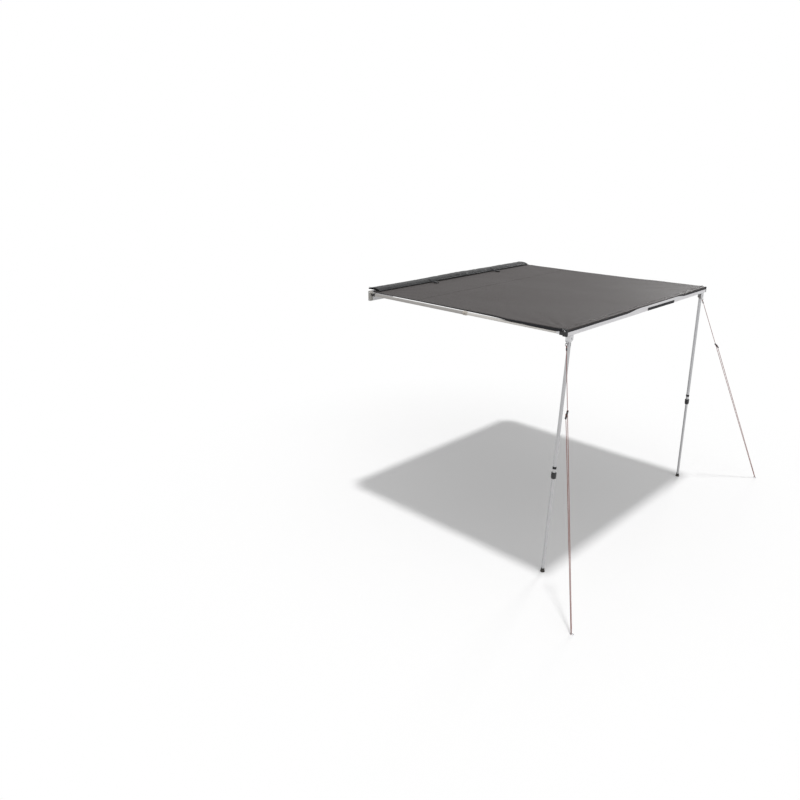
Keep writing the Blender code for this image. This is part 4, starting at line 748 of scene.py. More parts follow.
def add_stitches(vertices, faces, points, facing, length):
    """Add a row of lockstitches along a path on cloth that faces one way."""
    points = np.asarray(points, float)
    facing = np.array(facing, float)
    along = lengths_along(points)
    radius = THREAD_RADIUS
    sides = 5
    for index in range(int(along[-1] / (length + STITCH_GAP))):
        middle = (index + 0.5) * (length + STITCH_GAP)
        ends = np.array([middle - length / 2, middle + length / 2])
        a, b = np.stack([np.interp(ends, along, column) for column in points.T], 1)
        run = (b - a) / np.linalg.norm(b - a)
        normal = facing - run * np.dot(facing, run)
        normal /= np.linalg.norm(normal)
        side_way = np.cross(run, normal)
        first = len(vertices)
        vertices.append(a - normal * radius)
        for share, height in ((0.22, 0.45), (0.5, 0.75), (0.78, 0.45)):
            centre = a + (b - a) * share + normal * radius * height
            for side in range(sides):
                angle = 2 * math.pi * side / sides
                way = side_way * math.cos(angle) + normal * math.sin(angle)
                vertices.append(centre + way * radius)
        vertices.append(b - normal * radius)
        last = len(vertices) - 1
        faces += ring_faces(first + 1, 3, sides)
        for side in range(sides):
            after = (side + 1) % sides
            faces.append((first, first + 1 + after, first + 1 + side))
            faces.append((last, last - sides + side, last - sides + after))


def stitching(name, rows, length):
    """One piece that holds several rows of stitches: each row is (points, way it faces)."""
    vertices, faces = [], []
    for points, facing in rows:
        add_stitches(vertices, faces, points, facing, length)
    piece = faces_piece(name, vertices, faces, "sewing_thread",
                        [vertex[:2] for vertex in vertices])
    face_outwards(piece)
    return piece


def share_out(y):
    """Share of the way from backboard to rail."""
    return (y - CANOPY_START) / (CANOPY_END - CANOPY_START)


def canopy_half_width(v):
    """Half the canopy's width at share v of the way: it flares over the arm near the rail."""
    drawn = END_X - 0.035 * (1 - v) ** 1.5 - 0.0020 - 0.020 * math.sin(math.pi * v)
    return min(drawn + 0.030 * eased(v, 0.66, 0.84), END_X - 0.0018)


def outside_arm(y):
    """How far the side hem hangs down outside the arm at a place, from 0 to 1."""
    return eased(y, *HEM_OUTSIDE_ARM) * (1 - eased(y, *HEM_BACK_ABOVE_ARM))


def hem_bottom(y):
    """Height of the side hem's lower edge: it clears the arm wherever it isn't outside it."""
    return SIDE_HEM_LOW - SIDE_HEM_HANG * outside_arm(y)


def canopy_surface(x, y):
    """Height of the canopy's middle layer: its sag, corner wrinkles and slow swells."""
    v = min(max(share_out(y), 0.0), 1.0)
    u = min(max((x / canopy_half_width(v) + 1) / 2, 0.0), 1.0)
    level = CANOPY_BOARD_Z + (RAIL_TOP + 0.0009 - CANOPY_BOARD_Z) * v ** 2.5
    level -= 0.002 * math.sin(math.pi * u) * math.sin(math.pi * v)
    calm = eased(min(1.0, v / 0.06) * min(1.0, (1 - v) / 0.05), 0.0, 1.0)
    folds = 0.0
    for corner_x in (-END_X, END_X):
        for corner_y in (0.0, 2.10):
            dx, dy = x - corner_x, y - corner_y
            distance = math.hypot(dx, dy)
            angle = math.atan2(abs(dy), abs(dx))
            folds += math.sin(angle * 17.0 + distance * 1.7) * math.exp(-distance / 0.34)
    swell = cloth_noise(x, y, 0.3, 2.3) * 0.5 + cloth_noise(x * 0.35, y, 1.7, 7.0) * 0.22
    return level + calm * bpy.context.scene.awning_cloth.wrinkle_height * (folds + swell)


def seam_lift(y, cloth):
    """Extra height of the folded layers at the cross seam."""
    inside = abs(y - cloth.seam_place)
    if inside < cloth.seam_width / 2 - 0.0006:
        return SEAM_LIFT
    if inside < cloth.seam_width / 2 + 0.0004:
        return SEAM_LIFT * (cloth.seam_width / 2 + 0.0004 - inside) / 0.001
    return 0.0


def turned_edge(y, side):
    """(x, z) of the canopy's turned-down side edge, from the flat cloth to its raw end."""
    half = canopy_half_width(share_out(y))
    level = canopy_surface(side * (half - 0.010), y)
    drop = (1 - eased(y, 2.035, 2.058)) * (0.6 + 0.4 * outside_arm(y))
    return [(half - inset, level - fall * drop) for inset, fall in
            ((0.010, 0.0), (0.0075, 0.0002), (0.0050, 0.0008), (0.0028, 0.0018),
             (0.0012, 0.0032), (0.0003, 0.0050), (0.0, 0.0075))]


def bead(name, half, y, top, material):
    """The cord along a cloth's edge that sits in a keder groove below a surface."""
    path = [(x, y, top - BEAD_DROP) for x in np.linspace(-half, half, 9)]
    return swept(name, path, BEAD_RADIUS, 12, material)


def mirrored(side, place):
    """A place at the front end, or its mirror image at the rear end."""
    return Vector((side * place[0], place[1], place[2]))


def arc(along, radius, start_deg, end_deg):
    """Points on an arc round a place on the rope's line."""
    angles = np.radians(np.linspace(start_deg, end_deg, 17))
    return [(along + radius * math.cos(angle), radius * math.sin(angle)) for angle in angles]


class Guy:
    """One guy rope's own axes: along the rope, outboard across it, and sideways."""

    def __init__(self, side):
        hole = mirrored(side, LUG_HOLE_PLACE)
        self.peg = mirrored(side, PEG_PLACE)
        self.along = (self.peg - hole).normalized()
        across = OUT.cross(self.along)
        self.across = (across * (side if across.x > 0 else -side)).normalized()
        self.sideways = self.along.cross(self.across) * side
        self.eye = hole + self.along * (RING_DROP + RING_RADIUS)
        self.length = (self.peg - self.eye).length

    def place(self, along, across):
        """World point at distances from the ring's far wire, where the rope turns."""
        return self.eye + self.along * along + self.across * across

    def standing(self, along):
        """How far outboard the standing strand lies at a distance along the rope."""
        share = (along - FERRULE_END) / (self.length - FERRULE_END)
        return STRAND_OFFSET * (1 - share) - PEG_TURN * share

    def lower_hole(self):
        """(along, across) of the slider's lower hole."""
        upper = self.length * SLIDER_SHARE
        return (upper + SLIDER_SPAN * math.cos(SLIDER_TILT),
                self.standing(upper) + SLIDER_SPAN * math.sin(SLIDER_TILT))

    def route(self):
        """The rope's route: eye round the ring, down to the peg, and back to the slider."""
        flat = [(FERRULE_END + 0.004, -STRAND_OFFSET), (FERRULE_END, -STRAND_OFFSET),
                (FERRULE_START, -STRAND_OFFSET), (0.009, -0.0039)]
        flat += arc(0, RING_TURN, -90, -270)
        flat += [(0.009, 0.0039), (FERRULE_START, STRAND_OFFSET), (FERRULE_END, STRAND_OFFSET)]
        flat += [(self.length * share, self.standing(self.length * share))
                 for share in (0.12, 0.25, 0.4, 0.55, 0.7, 0.85)]
        flat += arc(self.length, PEG_TURN, -90, 90)
        lower = self.lower_hole()
        rise = (lower[1] - PEG_TURN) / (lower[0] - self.length)
        back = [self.length + (lower[0] - self.length) * share
                for share in (0.2, 0.4, 0.6, 0.8, 1.0)]
        flat += [(along, PEG_TURN + (along - self.length) * rise)
                 for along in (*back, lower[0] - 0.019)]
        fine = flat[:1]
        for a, b in zip(flat, flat[1:]):
            steps = max(1, round(math.dist(a, b) / 0.002))
            fine += [(a[0] + (b[0] - a[0]) * step / steps, a[1] + (b[1] - a[1]) * step / steps)
                     for step in range(1, steps + 1)]
        return relaxed([self.place(*point) for point in fine], 2, 0.3)

    def braid_profile(self, path):
        """The braid's relief as a factor on its radius: it swells between its fittings."""
        upper = self.length * SLIDER_SHARE
        squeezed = [self.place(along, 0) for along in np.linspace(-0.010, FERRULE_END, 6)]
        squeezed += [self.place(upper, self.standing(upper)), self.place(*self.lower_hole()),
                     self.peg]
        squeezed = np.array([tuple(place) for place in squeezed])
        along_path = lengths_along(path)
        gaps = [np.linalg.norm(squeezed - point, axis=1).min() for point in path]
        thin = ROPE_RADIUS / ROPE_FULL
        fullness = [thin + (1 - thin) * eased(gap, 0.013, 0.040) for gap in gaps]

        def profile(share, along):
            around = share * BRAID_STRANDS
            one = math.sin(2 * math.pi * (around + along * BRAID_TURNS))
            two = math.sin(2 * math.pi * (around - along * BRAID_TURNS))
            return (0.965 + 0.035 * one * two) * float(np.interp(along, along_path, fullness))

        return profile

    def knot(self, path):
        """The path of the stopper knot at the rope's end."""
        run = Vector(path[-1] - path[-30]).normalized()
        across = run.cross(self.sideways).normalized()
        lift = run.cross(across)
        turns = []
        for share in (step / 40 for step in range(41)):
            angle = 2 * math.pi * KNOT_TURNS * share
            reach = 0.0030 + 0.0006 * math.sin(3 * angle)
            turns.append(Vector(path[-1]) + across * reach * math.cos(angle)
                         + lift * reach * math.sin(angle) + run * (0.0048 * (share - 0.5)))
        turns += [turns[-1] + run * 0.002 + lift * 0.001, turns[-1] + run * 0.007 + lift * 0.003]
        return relaxed([tuple(turn) for turn in turns], 1)


class Step:
    """What the operators share."""

    bl_options = {"REGISTER", "UNDO"}


class AWNING_OT_finishes(Step, bpy.types.Operator):
    """Make every finish and give it to the CAD nodes that stay."""

    bl_idname = "awning.finishes"
    bl_label = "Finishes"

    def execute(self, context):
        make_finishes(context.scene.awning_cloth, context.scene.awning_hardware)
        for material, names in CAD_FINISHES.items():
            for name in names.split():
                coat(NODES[name], material)
        for material, names in END_FINISHES.items():
            for name in names.split():
                for end, _ in ENDS:
                    coat(NODES[f"{end}_{name}"], material)
        return {"FINISHED"}


class AWNING_OT_guy_ropes(Step, bpy.types.Operator):
    """Braid both guy ropes with their end knots."""

    bl_idname = "awning.guy_ropes"
    bl_label = "Guy ropes"

    def execute(self, context):
        for end, side in ENDS:
            guy = Guy(side)
            path = guy.route()
            rope = swept(f"{end}_guy_rope_braid", path, ROPE_FULL, 12, "braided_guy_rope",
                         guy.braid_profile(path))
            knot = swept(f"{end}_guy_knot", guy.knot(path), KNOT_RADIUS, 8, "braided_guy_rope")
            for piece in (rope, knot):
                belongs(piece, "rail")
            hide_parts(f"{end}_guy_rope")
            tuple(guy.place(EYE_END, 0))
        return {"FINISHED"}


class AWNING_OT_canopy(Step, bpy.types.Operator):
    """Stretch the canopy between backboard and rail, with its seam and bound side hems."""

    bl_idname = "awning.canopy"
    bl_label = "Canopy"

    def execute(self, context):
        cloth = context.scene.awning_cloth
        seam_edges = [cloth.seam_place + sign * (cloth.seam_width / 2 + shift)
                      for sign in (-1, 1) for shift in (-0.0006, 0.0004)]
        points, uvs = [], []
        for y in sorted({*np.linspace(CANOPY_START, CANOPY_END, 151).tolist(), *seam_edges}):
            lift = seam_lift(y, cloth)
            flat = turned_edge(y, 1)[0][0]
            row = [(x, y, canopy_surface(x, y) + lift) for x in np.linspace(-flat, flat, 145)]
            marks = [(point[0], y) for point in row]
            for side in (-1, 1):
                edge = turned_edge(y, side)
                turned = [(side * x, y, z + lift) for x, z in edge[1:]]
                shares = [(side * (flat + length), y) for length in lengths_along(edge)[1:]]
                if side < 0:
                    row, marks = turned[::-1] + row, shares[::-1] + marks
                else:
                    row, marks = row + turned, marks + shares
            points.append(row)
            uvs.append(marks)
        sheet = grid_piece("canopy_sheet", points, uvs, "canopy_ripstop")
        face_towards(sheet, UP)
        thicken(sheet, cloth.canopy_thickness)
        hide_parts("canopy")
        trims = [self.side_hem(end, side) for end, side in ENDS] + [self.sewing(cloth)]
        for piece in (sheet, *trims):
            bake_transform(piece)
        return {"FINISHED"}

    def side_hem(self, end, side):
        """The dark binding folded round one side edge of the canopy, hanging beside the arm."""
        points, uvs = [], []
        for y in np.linspace(CANOPY_START + 0.001, CANOPY_END - 0.005, 241):
            half, level = turned_edge(y, side)[-1]
            top, bottom = level + 0.0030, hem_bottom(y)
            sway = cloth_noise(y, side * 3.0, 6.6, 7.0) * 0.0007
            pucker = 0.00012 * math.sin(y * 2 * math.pi / 0.0065)
            row = [(half + 0.0006, top + 0.0010)]
            row += [(half + 0.0010 + sway * share + pucker, top + (bottom + 0.0012 - top) * share)
                    for share in np.linspace(0, 1, 7)]
            row += [(half + inset + sway, bottom + 0.0002) for inset in (0.0005, -0.0005)]
            row += [(half - 0.0010 + sway * share, top - 0.0020 + (bottom + 0.0032 - top) * share)
                    for share in np.linspace(1, 0, 7)]
            points.append([(side * x, y, z) for x, z in row])
            uvs.append([(length, y) for length in lengths_along(row)])
        tape = grid_piece(f"{end}_side_hem", points, uvs, "grosgrain_binding")
        thicken(tape, 0.0004)
        face_outwards(tape)
        return tape

    def sewing(self, cloth):
        """Stitches along the seam and the side hems."""
        skin = cloth.canopy_thickness / 2
        rows = []
        for face in (1, -1):
            for sign in (-1, 1):
                y = cloth.seam_place + sign * (cloth.seam_width / 2 - 0.0028)
                half = canopy_half_width(share_out(y)) - 0.012
                line = [(x, y, canopy_surface(x, y) + SEAM_LIFT + face * skin)
                        for x in np.linspace(-half, half, 500)]
                rows.append((line, (0, 0, face)))
            for side in (-1, 1):
                line = []
                for y in np.linspace(CANOPY_START + 0.004, CANOPY_END - 0.004, 400):
                    x = side * (canopy_half_width(share_out(y)) - cloth.hem_width)
                    line.append((x, y, canopy_surface(x, y) + seam_lift(y, cloth) + face * skin))
                rows.append((line, (0, 0, face)))
        for side in (-1, 1):
            line = []
            for y in np.linspace(CANOPY_START + 0.004, CANOPY_END - 0.008, 400):
                half, level = turned_edge(y, side)[-1]
                line.append((side * (half + 0.0012), y, level + 0.0004))
            rows.append((line, (side, 0, 0)))
        piece = stitching("canopy_stitching", rows, cloth.stitch_length)
        return piece


class AWNING_OT_front_hem(Step, bpy.types.Operator):
    """Fold the front hem over the rail, with its dark binding and the bead that holds it."""

    bl_idname = "awning.front_hem"
    bl_label = "Front hem"

    def held_up(self, x):
        """How far the storage strap holds the flap up at place x, from 0 to 1."""
        return eased(0.36 - x, 0.0, 0.24) * (1 - eased(-0.58 - x, 0.0, 0.20))

    def flap_end(self, x):
        """Height of the flap's lower edge at place x."""
        return RAIL_TOP - FLAP_DROP + FLAP_HELD_UP * self.held_up(x)

    def binding_width(self, x):
        """Width of the flap's binding at place x: the strap hides the rest of it."""
        return BINDING_WIDTH - BINDING_HIDDEN * self.held_up(x)

    def hanging(self, x, y, z):
        """A place on the flat flap, moved by its slow waves."""
        share = max(0.0, (RAIL_TOP - z) / HEM_FLAP)
        wave = share * (cloth_noise(x, 0.0, 4.1, 9.0) * 0.0007 + 0.0003)
        dip = share * cloth_noise(x, 0.0, 9.3, 5.0) * 0.0005
        return x, y + wave, z + dip

    def execute(self, context):
        top = RAIL_TOP + LOOSE
        outer = RAIL_HIGH.y + LOOSE
        over = [(CANOPY_END + 0.0006, top + 0.0006), (RAIL_Y, top + 0.0006),
                (outer - 0.002, top + 0.0006), (outer - 0.0002, top + 0.0002),
                (outer + 0.0005, top - 0.0015)]
        xs = np.linspace(-HEM_HALF, HEM_HALF, 421)
        points, uvs, total = [], [], 0.0
        for x in xs:
            heights = np.linspace(top - 0.0035, self.flap_end(x) + 0.0004, 4)
            down = [(outer + 0.0005, z) for z in heights]
            fine = relaxed(resampled(over + down, 31), 1, 0.4)
            along = lengths_along(fine)
            total += along[-1] / len(xs)
            points.append([self.hanging(x, y, z) for y, z in fine])
            uvs.append([(x, CANOPY_END + length) for length in along])
        hem = grid_piece("front_hem", points, uvs, "canopy_ripstop")
        face_towards(hem, (0, 1, 1))
        thicken(hem, HEM_THICKNESS)
        trims = [self.binding(xs, outer), *self.bead_and_neck()]
        rows = [([(x, CANOPY_END + 0.005, top + 0.0011) for x in xs], UP)]
        for share in (0.15, 0.85):
            line = [self.hanging(x, outer + 0.0017,
                                 self.flap_end(x) + share * self.binding_width(x)) for x in xs]
            rows.append((line, OUT))
        trims.append(stitching("front_hem_stitching", rows,
                               context.scene.awning_cloth.stitch_length))
        belongs(hem, "rail")
        for piece in trims:
            belongs(piece, "rail")
        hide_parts("canopy_hem")
        return {"FINISHED"}

    def binding(self, xs, outer):
        """The dark tape along the flap's lower edge."""
        points, uvs = [], []
        for x in xs:
            end, wide = self.flap_end(x), self.binding_width(x)
            points.append([self.hanging(x, outer + 0.0014, z)
                           for z in np.linspace(end + wide, end - 0.0001, 9)])
            uvs.append([(share * wide, x) for share in np.linspace(0, 1, 9)])
        tape = grid_piece("front_hem_binding", points, uvs, "grosgrain_binding")
        face_towards(tape, OUT)
        thicken(tape, 0.0006)
        return tape

    def bead_and_neck(self):
        """The bead in the rail's groove and the cloth that leads out of it."""
        y = HEM_GROOVE_Y
        cord = bead("front_hem_bead", HEM_HALF, y, RAIL_TOP, "grosgrain_binding")
        stations = np.linspace(-HEM_HALF, HEM_HALF, 9)
        neck = grid_piece(
            "front_hem_neck",
            [[(x, y, RAIL_TOP + rise) for rise in (-0.004, -0.001, 0.0005)] for x in stations],
            [[(length, x) for length in (0.0, 0.003, 0.006)] for x in stations],
            "grosgrain_binding")
        thicken(neck, 0.0012)
        return cord, neck


def bag_rise(x):
    """How high the laid-back flap stands at place x."""
    share = x / BAG_HALF
    return BAG_RISE + 0.006 * (0.6 * math.cos(3.1 * share + 0.4) + 0.4 * math.cos(7.3 * share))


def blunt_cosine(angle, power):
    """A cosine that stays longer near its ends."""
    return math.copysign(abs(math.cos(angle)) ** power, math.cos(angle))


def bag_outside(x, angle, inset=0.0):
    """(y, z) on the flap's outside: angle 0 is its front edge and pi its rear edge."""
    reach = blunt_cosine(angle, 0.75)
    y = (BAG_FRONT + BAG_BACK) / 2 + ((BAG_FRONT - BAG_BACK) / 2 - inset) * reach
    droop = (BASE - BAG_LIP) * eased(y, BOARD_FRONT, BAG_FRONT)
    return y, BASE - droop + (bag_rise(x) - inset) * max(math.sin(angle), 0.0) ** 0.9


def beside_bag(x, angle, clear):
    """(y, z) at a distance outside the flap's surface."""
    y, z = bag_outside(x, angle)
    along = Vector(bag_outside(x, angle + 0.05)) - Vector(bag_outside(x, angle - 0.05))
    along.normalize()
    return y + along.y * clear, z - along.x * clear


def bag_section(x):
    """The cloth's path across the bag: bead, lip over the front, top, zip edge, inner curl."""
    path = [(0.0100, BOARD_TOP - 0.001), (0.0102, BASE + 0.0003), (0.0150, BASE + 0.0006),
            (0.0285, BASE + 0.0006), (0.0325, BASE - 0.0006), (0.0345, BAG_LIP + 0.0030),
            (0.0380, BAG_LIP + 0.0008), (0.0480, BAG_LIP + 0.0006), (0.0740, BAG_LIP + 0.0006)]
    path += [bag_outside(x, angle, 0.0007) for angle in np.linspace(0.16, math.pi - 0.10, 44)]
    path += [(-0.0712, 0.0530), (-0.0706, 0.0519), (-0.0650, 0.0515), (-0.0590, 0.0508),
             (-0.0590, 0.0496), (-0.0650, 0.0490), (-0.0700, 0.0488), (-0.0712, 0.0480),
             (-0.0700, 0.0471), (-0.0600, 0.0469), (-0.0200, 0.0474), (0.0040, 0.0484)]
    path += [(-0.022 + 0.031 * blunt_cosine(angle, 0.8),
              0.0494 + 0.26 * bag_rise(x) * math.sin(angle) ** 0.9)
             for angle in np.linspace(0.25, math.pi * 0.93, 18)]
    return path


class AWNING_OT_cover_bag(Step, bpy.types.Operator):
    """Lay the opened cover bag back along the backboard, crumpled, with its zip and piping."""

    bl_idname = "awning.cover_bag"
    bl_label = "Cover bag"

    def crumple(self, x, along, total, deepest):
        """How far the cloth is drawn in at a place of the flap."""
        share = along / total
        mask = eased(along, 0.066, 0.090) * (1 - eased(along, 0.215, 0.240))
        strap = min(min(1.0, abs(x - place) / 0.10) for _, place in BAG_STRAPS)
        folds = 1.0 - abs(cloth_noise(x, share * 0.5, 0.7, 7.5)) * 2.2
        folds += 0.55 * (1.0 - abs(cloth_noise(x * 1.3 + share, share * 1.5, 3.1, 15.0)) * 2.0)
        folds += 0.25 * cloth_noise(x, share * 3.0, 5.9, 31.0)
        swell = 0.5 + 0.5 * cloth_noise(x, share, 8.2, 3.0)
        drawn = max(0.0, min(1.0, 0.52 * folds)) * (0.35 + 0.65 * swell)
        return deepest * mask * (0.35 + 0.65 * strap) * drawn

    def execute(self, context):
        cloth = context.scene.awning_cloth
        stations = np.linspace(BAG_HALF, -BAG_HALF, 341)
        points, uvs, total = [], [], 0.0
        for x in stations:
            section = relaxed(resampled(bag_section(x), 96), 2, 0.4)
            along = lengths_along(section)
            total += along[-1] / len(stations)
            deepest = cloth.bag_crumple * bag_rise(x) / BAG_RISE
            row = []
            for place, tangent, length in zip(section, directions(section), along):
                inwards = np.array((-tangent[1], tangent[0]))
                row.append((x, *(place + inwards * self.crumple(x, length, along[-1], deepest))))
            points.append(row)
            uvs.append([(length, x) for length in along])
        bag = grid_piece("cover_bag_flap", points, uvs, "bag_coated_cloth")
        thicken(bag, BAG_THICKNESS)
        piping = [self.piping(end, side) for end, side in ENDS]
        piping += [self.end_flap(end, side) for end, side in ENDS]
        tape, teeth = self.zip_tape(), self.zip_teeth()
        cord = bead("cover_bag_bead", BAG_HALF - 0.01, 0.010, BOARD_TOP, "bag_coated_cloth")
        line = [(x, -0.0748, 0.0512) for x in np.linspace(-BAG_HALF + 0.006, BAG_HALF - 0.006, 700)]
        sewing = stitching("cover_bag_stitching", [(line, UP)], cloth.stitch_length)
        for piece in (bag, cord, *piping):
            belongs(piece, "fixed_frame")
        for piece, slot in ((tape, "webbing"), (teeth, "black_plastic"), (sewing, "hem_cloth")):
            belongs(piece, "fixed_frame")
        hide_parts("cover_bag")
        return {"FINISHED"}

    def piping(self, end, side):
        """The bound edge at one end of the flap."""
        x = side * PIPING_X
        section = relaxed(resampled(bag_section(x), 110), 3, 0.4)[6:]
        path = [(x, y, z) for y, z in section]
        return swept(f"{end}_bag_piping", path, 0.0013, 8, "bag_coated_cloth")

    def end_flap(self, end, side):
        """The cloth that closes one end of the flap, pushed in with a few pleats."""
        x = side * BAG_END_X
        outline = [bag_outside(x, angle, 0.0012)
                   for angle in np.linspace(0.12, math.pi - 0.12, 48)]
        outline += [(-0.0690, BASE + 0.0012), (0.0300, BASE + 0.0012),
                    (0.0350, BAG_LIP + 0.0016), (0.0740, BAG_LIP + 0.0012)]
        outline = resampled(outline + outline[:1], 97)
        middle = np.array((0.012, BASE + 0.55 * bag_rise(x) - 0.002))
        points, uvs = [], []
        for ring in np.linspace(1.0, 0.0, 9):
            places = middle + (outline - middle) * ring
            dent = 0.0080 * (1 - ring ** 2)
            row = []
            for index, (y, z) in enumerate(places):
                turn = 2 * math.pi * index / 96
                pleat = 0.0016 * math.sin(turn * 5 + 1.0) * ring * (1 - ring) * 4
                row.append((x - side * (dent + pleat), y, z))
            points.append(row)
            uvs.append(places)
        flap = grid_piece(f"{end}_bag_end", points, uvs, "bag_coated_cloth")
        weld(flap)
        face_towards(flap, (side, 0, 0))
        thicken(flap, 0.0008)
        return flap

    def zip_tape(self):
        """The zip's tape along the flap's rear edge."""
        columns = (-0.0792, -0.0765, -0.0735, -0.0700, -0.0650, -0.0600)
        stations = np.linspace(ZIP_HALF, -ZIP_HALF, 120)
        tape = grid_piece("zip_tape", [[(x, y, ZIP_LEVEL) for y in columns] for x in stations],
                          [[(y, x) for y in columns] for x in stations], "zip_tape_cloth")
        face_towards(tape, UP)
        thicken(tape, 0.0008)
        return tape

    def zip_teeth(self):
        """The row of teeth on the tape's edge: each is three rings of four corners."""
        rings = ((-0.0799, 0.0005, 0.0006), (-0.0788, 0.0008, 0.0010), (-0.0770, 0.0006, 0.0009))
        vertices, faces = [], []
        for x in np.arange(-ZIP_HALF + 0.004, ZIP_HALF - 0.004, TOOTH_PITCH):
            first = len(vertices)
            vertices += [(x + dx * wide, y, ZIP_LEVEL + dz * high) for y, wide, high in rings
                         for dx, dz in ((-1, -1), (1, -1), (1, 1), (-1, 1))]
            faces += ring_faces(first, len(rings), 4)
            faces.append((first + 3, first + 2, first + 1, first))
            faces.append((first + 8, first + 9, first + 10, first + 11))
        teeth = faces_piece("zip_teeth", vertices, faces, "black_moulding")
        face_outwards(teeth)
        return teeth


def webbing_strip(name, path, normals, way, width):
    """A strap with rounded selvedges along a path, ribbed lengthwise."""
    path = np.asarray(path, float)
    normals = np.asarray(normals, float)
    way = np.asarray(way, float)
    columns = 21
    rings, uvs = [], []
    for place, normal, length in zip(path, normals, lengths_along(path)):
        ring, marks = [], []
        for face in (1, -1):
            for column in range(columns)[::face]:
                share = column / (columns - 1)
                edge = min(share, 1 - share) * (columns - 1)
                thin = 0.45 if edge == 0 else (0.85 if edge == 1 else 1.0)
                rib = 0.08 if column % 2 else -0.04
                height = STRAP_THICKNESS / 2 * (thin + rib * (edge > 1))
                ring.append(place + way * width * (share - 0.5) + normal * height * face)
                marks.append((share * width, length + (0 if face == 1 else 0.5)))
        rings.append(ring + ring[:1])
        uvs.append(marks + marks[:1])
    return closed_piece(name, rings, uvs, (path[0], path[-1]), "strap_webbing")


def strap_route(place):
    """(y, z) of a bag strap from the bag over its front lip and round the buckle's bar."""
    clear = 0.0012
    bar_z = CANOPY_BOARD_Z + 0.0006 + LOOSE + 0.0008 + STRAP_THICKNESS + BUCKLE_BAR
    under, over = bar_z - BUCKLE_BAR - clear, bar_z + BUCKLE_BAR + clear
    beyond = BUCKLE_BAR_Y + 0.0020 + clear
    path = [beside_bag(place, angle, clear + 0.0004) for angle in (1.30, 1.05, 0.80, 0.55, 0.35)]
    path += [(BAG_FRONT + 0.0022, BAG_LIP + 0.0033), (BAG_FRONT + 0.0055, under + 0.0006),
             (BAG_FRONT + 0.0088, under), (beyond - 0.0012, under), (beyond, under + 0.0012),
             (beyond, over - 0.0012), (beyond - 0.0012, over), (BUCKLE_BAR_Y - 0.010, over)]
    return path


class AWNING_OT_straps(Step, bpy.types.Operator):
    """Weave the bag's straps and the storage strap along the rail."""

    bl_idname = "awning.straps"
    bl_label = "Straps"

    def execute(self, context):
        for end, place in BAG_STRAPS:
            flat = relaxed(resampled(strap_route(place), 110), 2, 0.35)
            normals = [(0.0, -tangent[1], tangent[0]) for tangent in directions(flat)]
            strap = webbing_strip(f"{end}_bag_strap_webbing", [(place, y, z) for y, z in flat],
                                  normals, (1, 0, 0), BAG_STRAP_WIDTH)
            belongs(strap, "fixed_frame")
            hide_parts(f"{end}_bag_strap")
        self.tie()
        return {"FINISHED"}

    def tie(self):
        """The storage strap that lies along the rail's outer face."""
        top = RAIL_TOP - HEM_FLAP - LOOSE
        face = RAIL_HIGH.y + LOOSE
        path = []
        for share in np.linspace(0, 1, 150):
            x = TIE_START - TIE_LENGTH * share
            drop = 0.002 * math.sin(math.pi * share) + 0.004 * max(0.0, (share - 0.5) * 2) ** 1.4
            bulge = 0.0006 + 0.0005 * cloth_noise(x, 0.0, 2.2, 14.0)
            path.append((x, face + 0.0009 + bulge, top - 0.012 - drop))
        strap = webbing_strip("storage_strap", path, [OUT] * len(path), UP, TIE_WIDTH)
        belongs(strap, "rail")
        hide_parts("tie_strap")


def smooth_below(piece, angle_deg):
    """Shade a piece smooth, apart from edges above an angle."""
    activate(piece)
    bpy.ops.object.shade_smooth_by_angle(angle=math.radians(angle_deg))


def bevel_edges(piece, radius, segments, angle_deg):
    """Round the edges of a piece that are sharper than an angle."""
    apply_modifier(piece, "BEVEL", width=radius, segments=segments, limit_method="ANGLE",
                   angle_limit=math.radians(angle_deg))


class AWNING_OT_rounded_parts(Step, bpy.types.Operator):
    """Round the edges of castings and moulded parts."""

    bl_idname = "awning.rounded_parts"
    bl_label = "Castings and mouldings"

    def execute(self, context):
        radius = context.scene.awning_hardware.edge_radius
        for end, _ in ENDS:
            for name, (material, slot, share) in ROUNDED.items():
                self.rounded_copy(f"{end}_{name}", radius * share, material, slot)
        return {"FINISHED"}

    def rounded_copy(self, node, radius, material, slot):
        """Replace a CAD casting or moulding by a merged copy with rounded edges."""
        source = NODES[node]
        piece = mesh_piece(f"{node}_rounded", source.data.copy(), material)
        on_all_faces(piece, (bpy.ops.mesh.remove_doubles, {"threshold": 0.00002}),
                     (bpy.ops.mesh.dissolve_limited, {"angle_limit": math.radians(0.5)}))
        bevel_edges(piece, radius, 2, 38)
        smooth_below(piece, 40)
        belongs(piece, source["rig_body"])
        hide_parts(node)


def select_faces(piece, wanted):
    """In edit mode, select the faces that a test on centre and normal picks."""
    bpy.ops.mesh.select_all(action="DESELECT")
    bpy.ops.object.mode_set(mode="OBJECT")
    for face in piece.data.polygons:
        face.select = bool(wanted(face.center, face.normal))
    bpy.ops.object.mode_set(mode="EDIT")
    bpy.ops.mesh.select_mode(type="FACE")


def disc(vertices, radius, depth):
    """A round disc that stands on z = 0, in edit mode."""
    deselect_all()
    bpy.ops.mesh.primitive_cylinder_add(vertices=vertices, radius=radius, depth=depth,
                                        location=(0, 0, depth / 2))
    bpy.ops.object.transform_apply(location=True, rotation=True, scale=True)
    bpy.ops.object.mode_set(mode="EDIT")
    return bpy.context.object


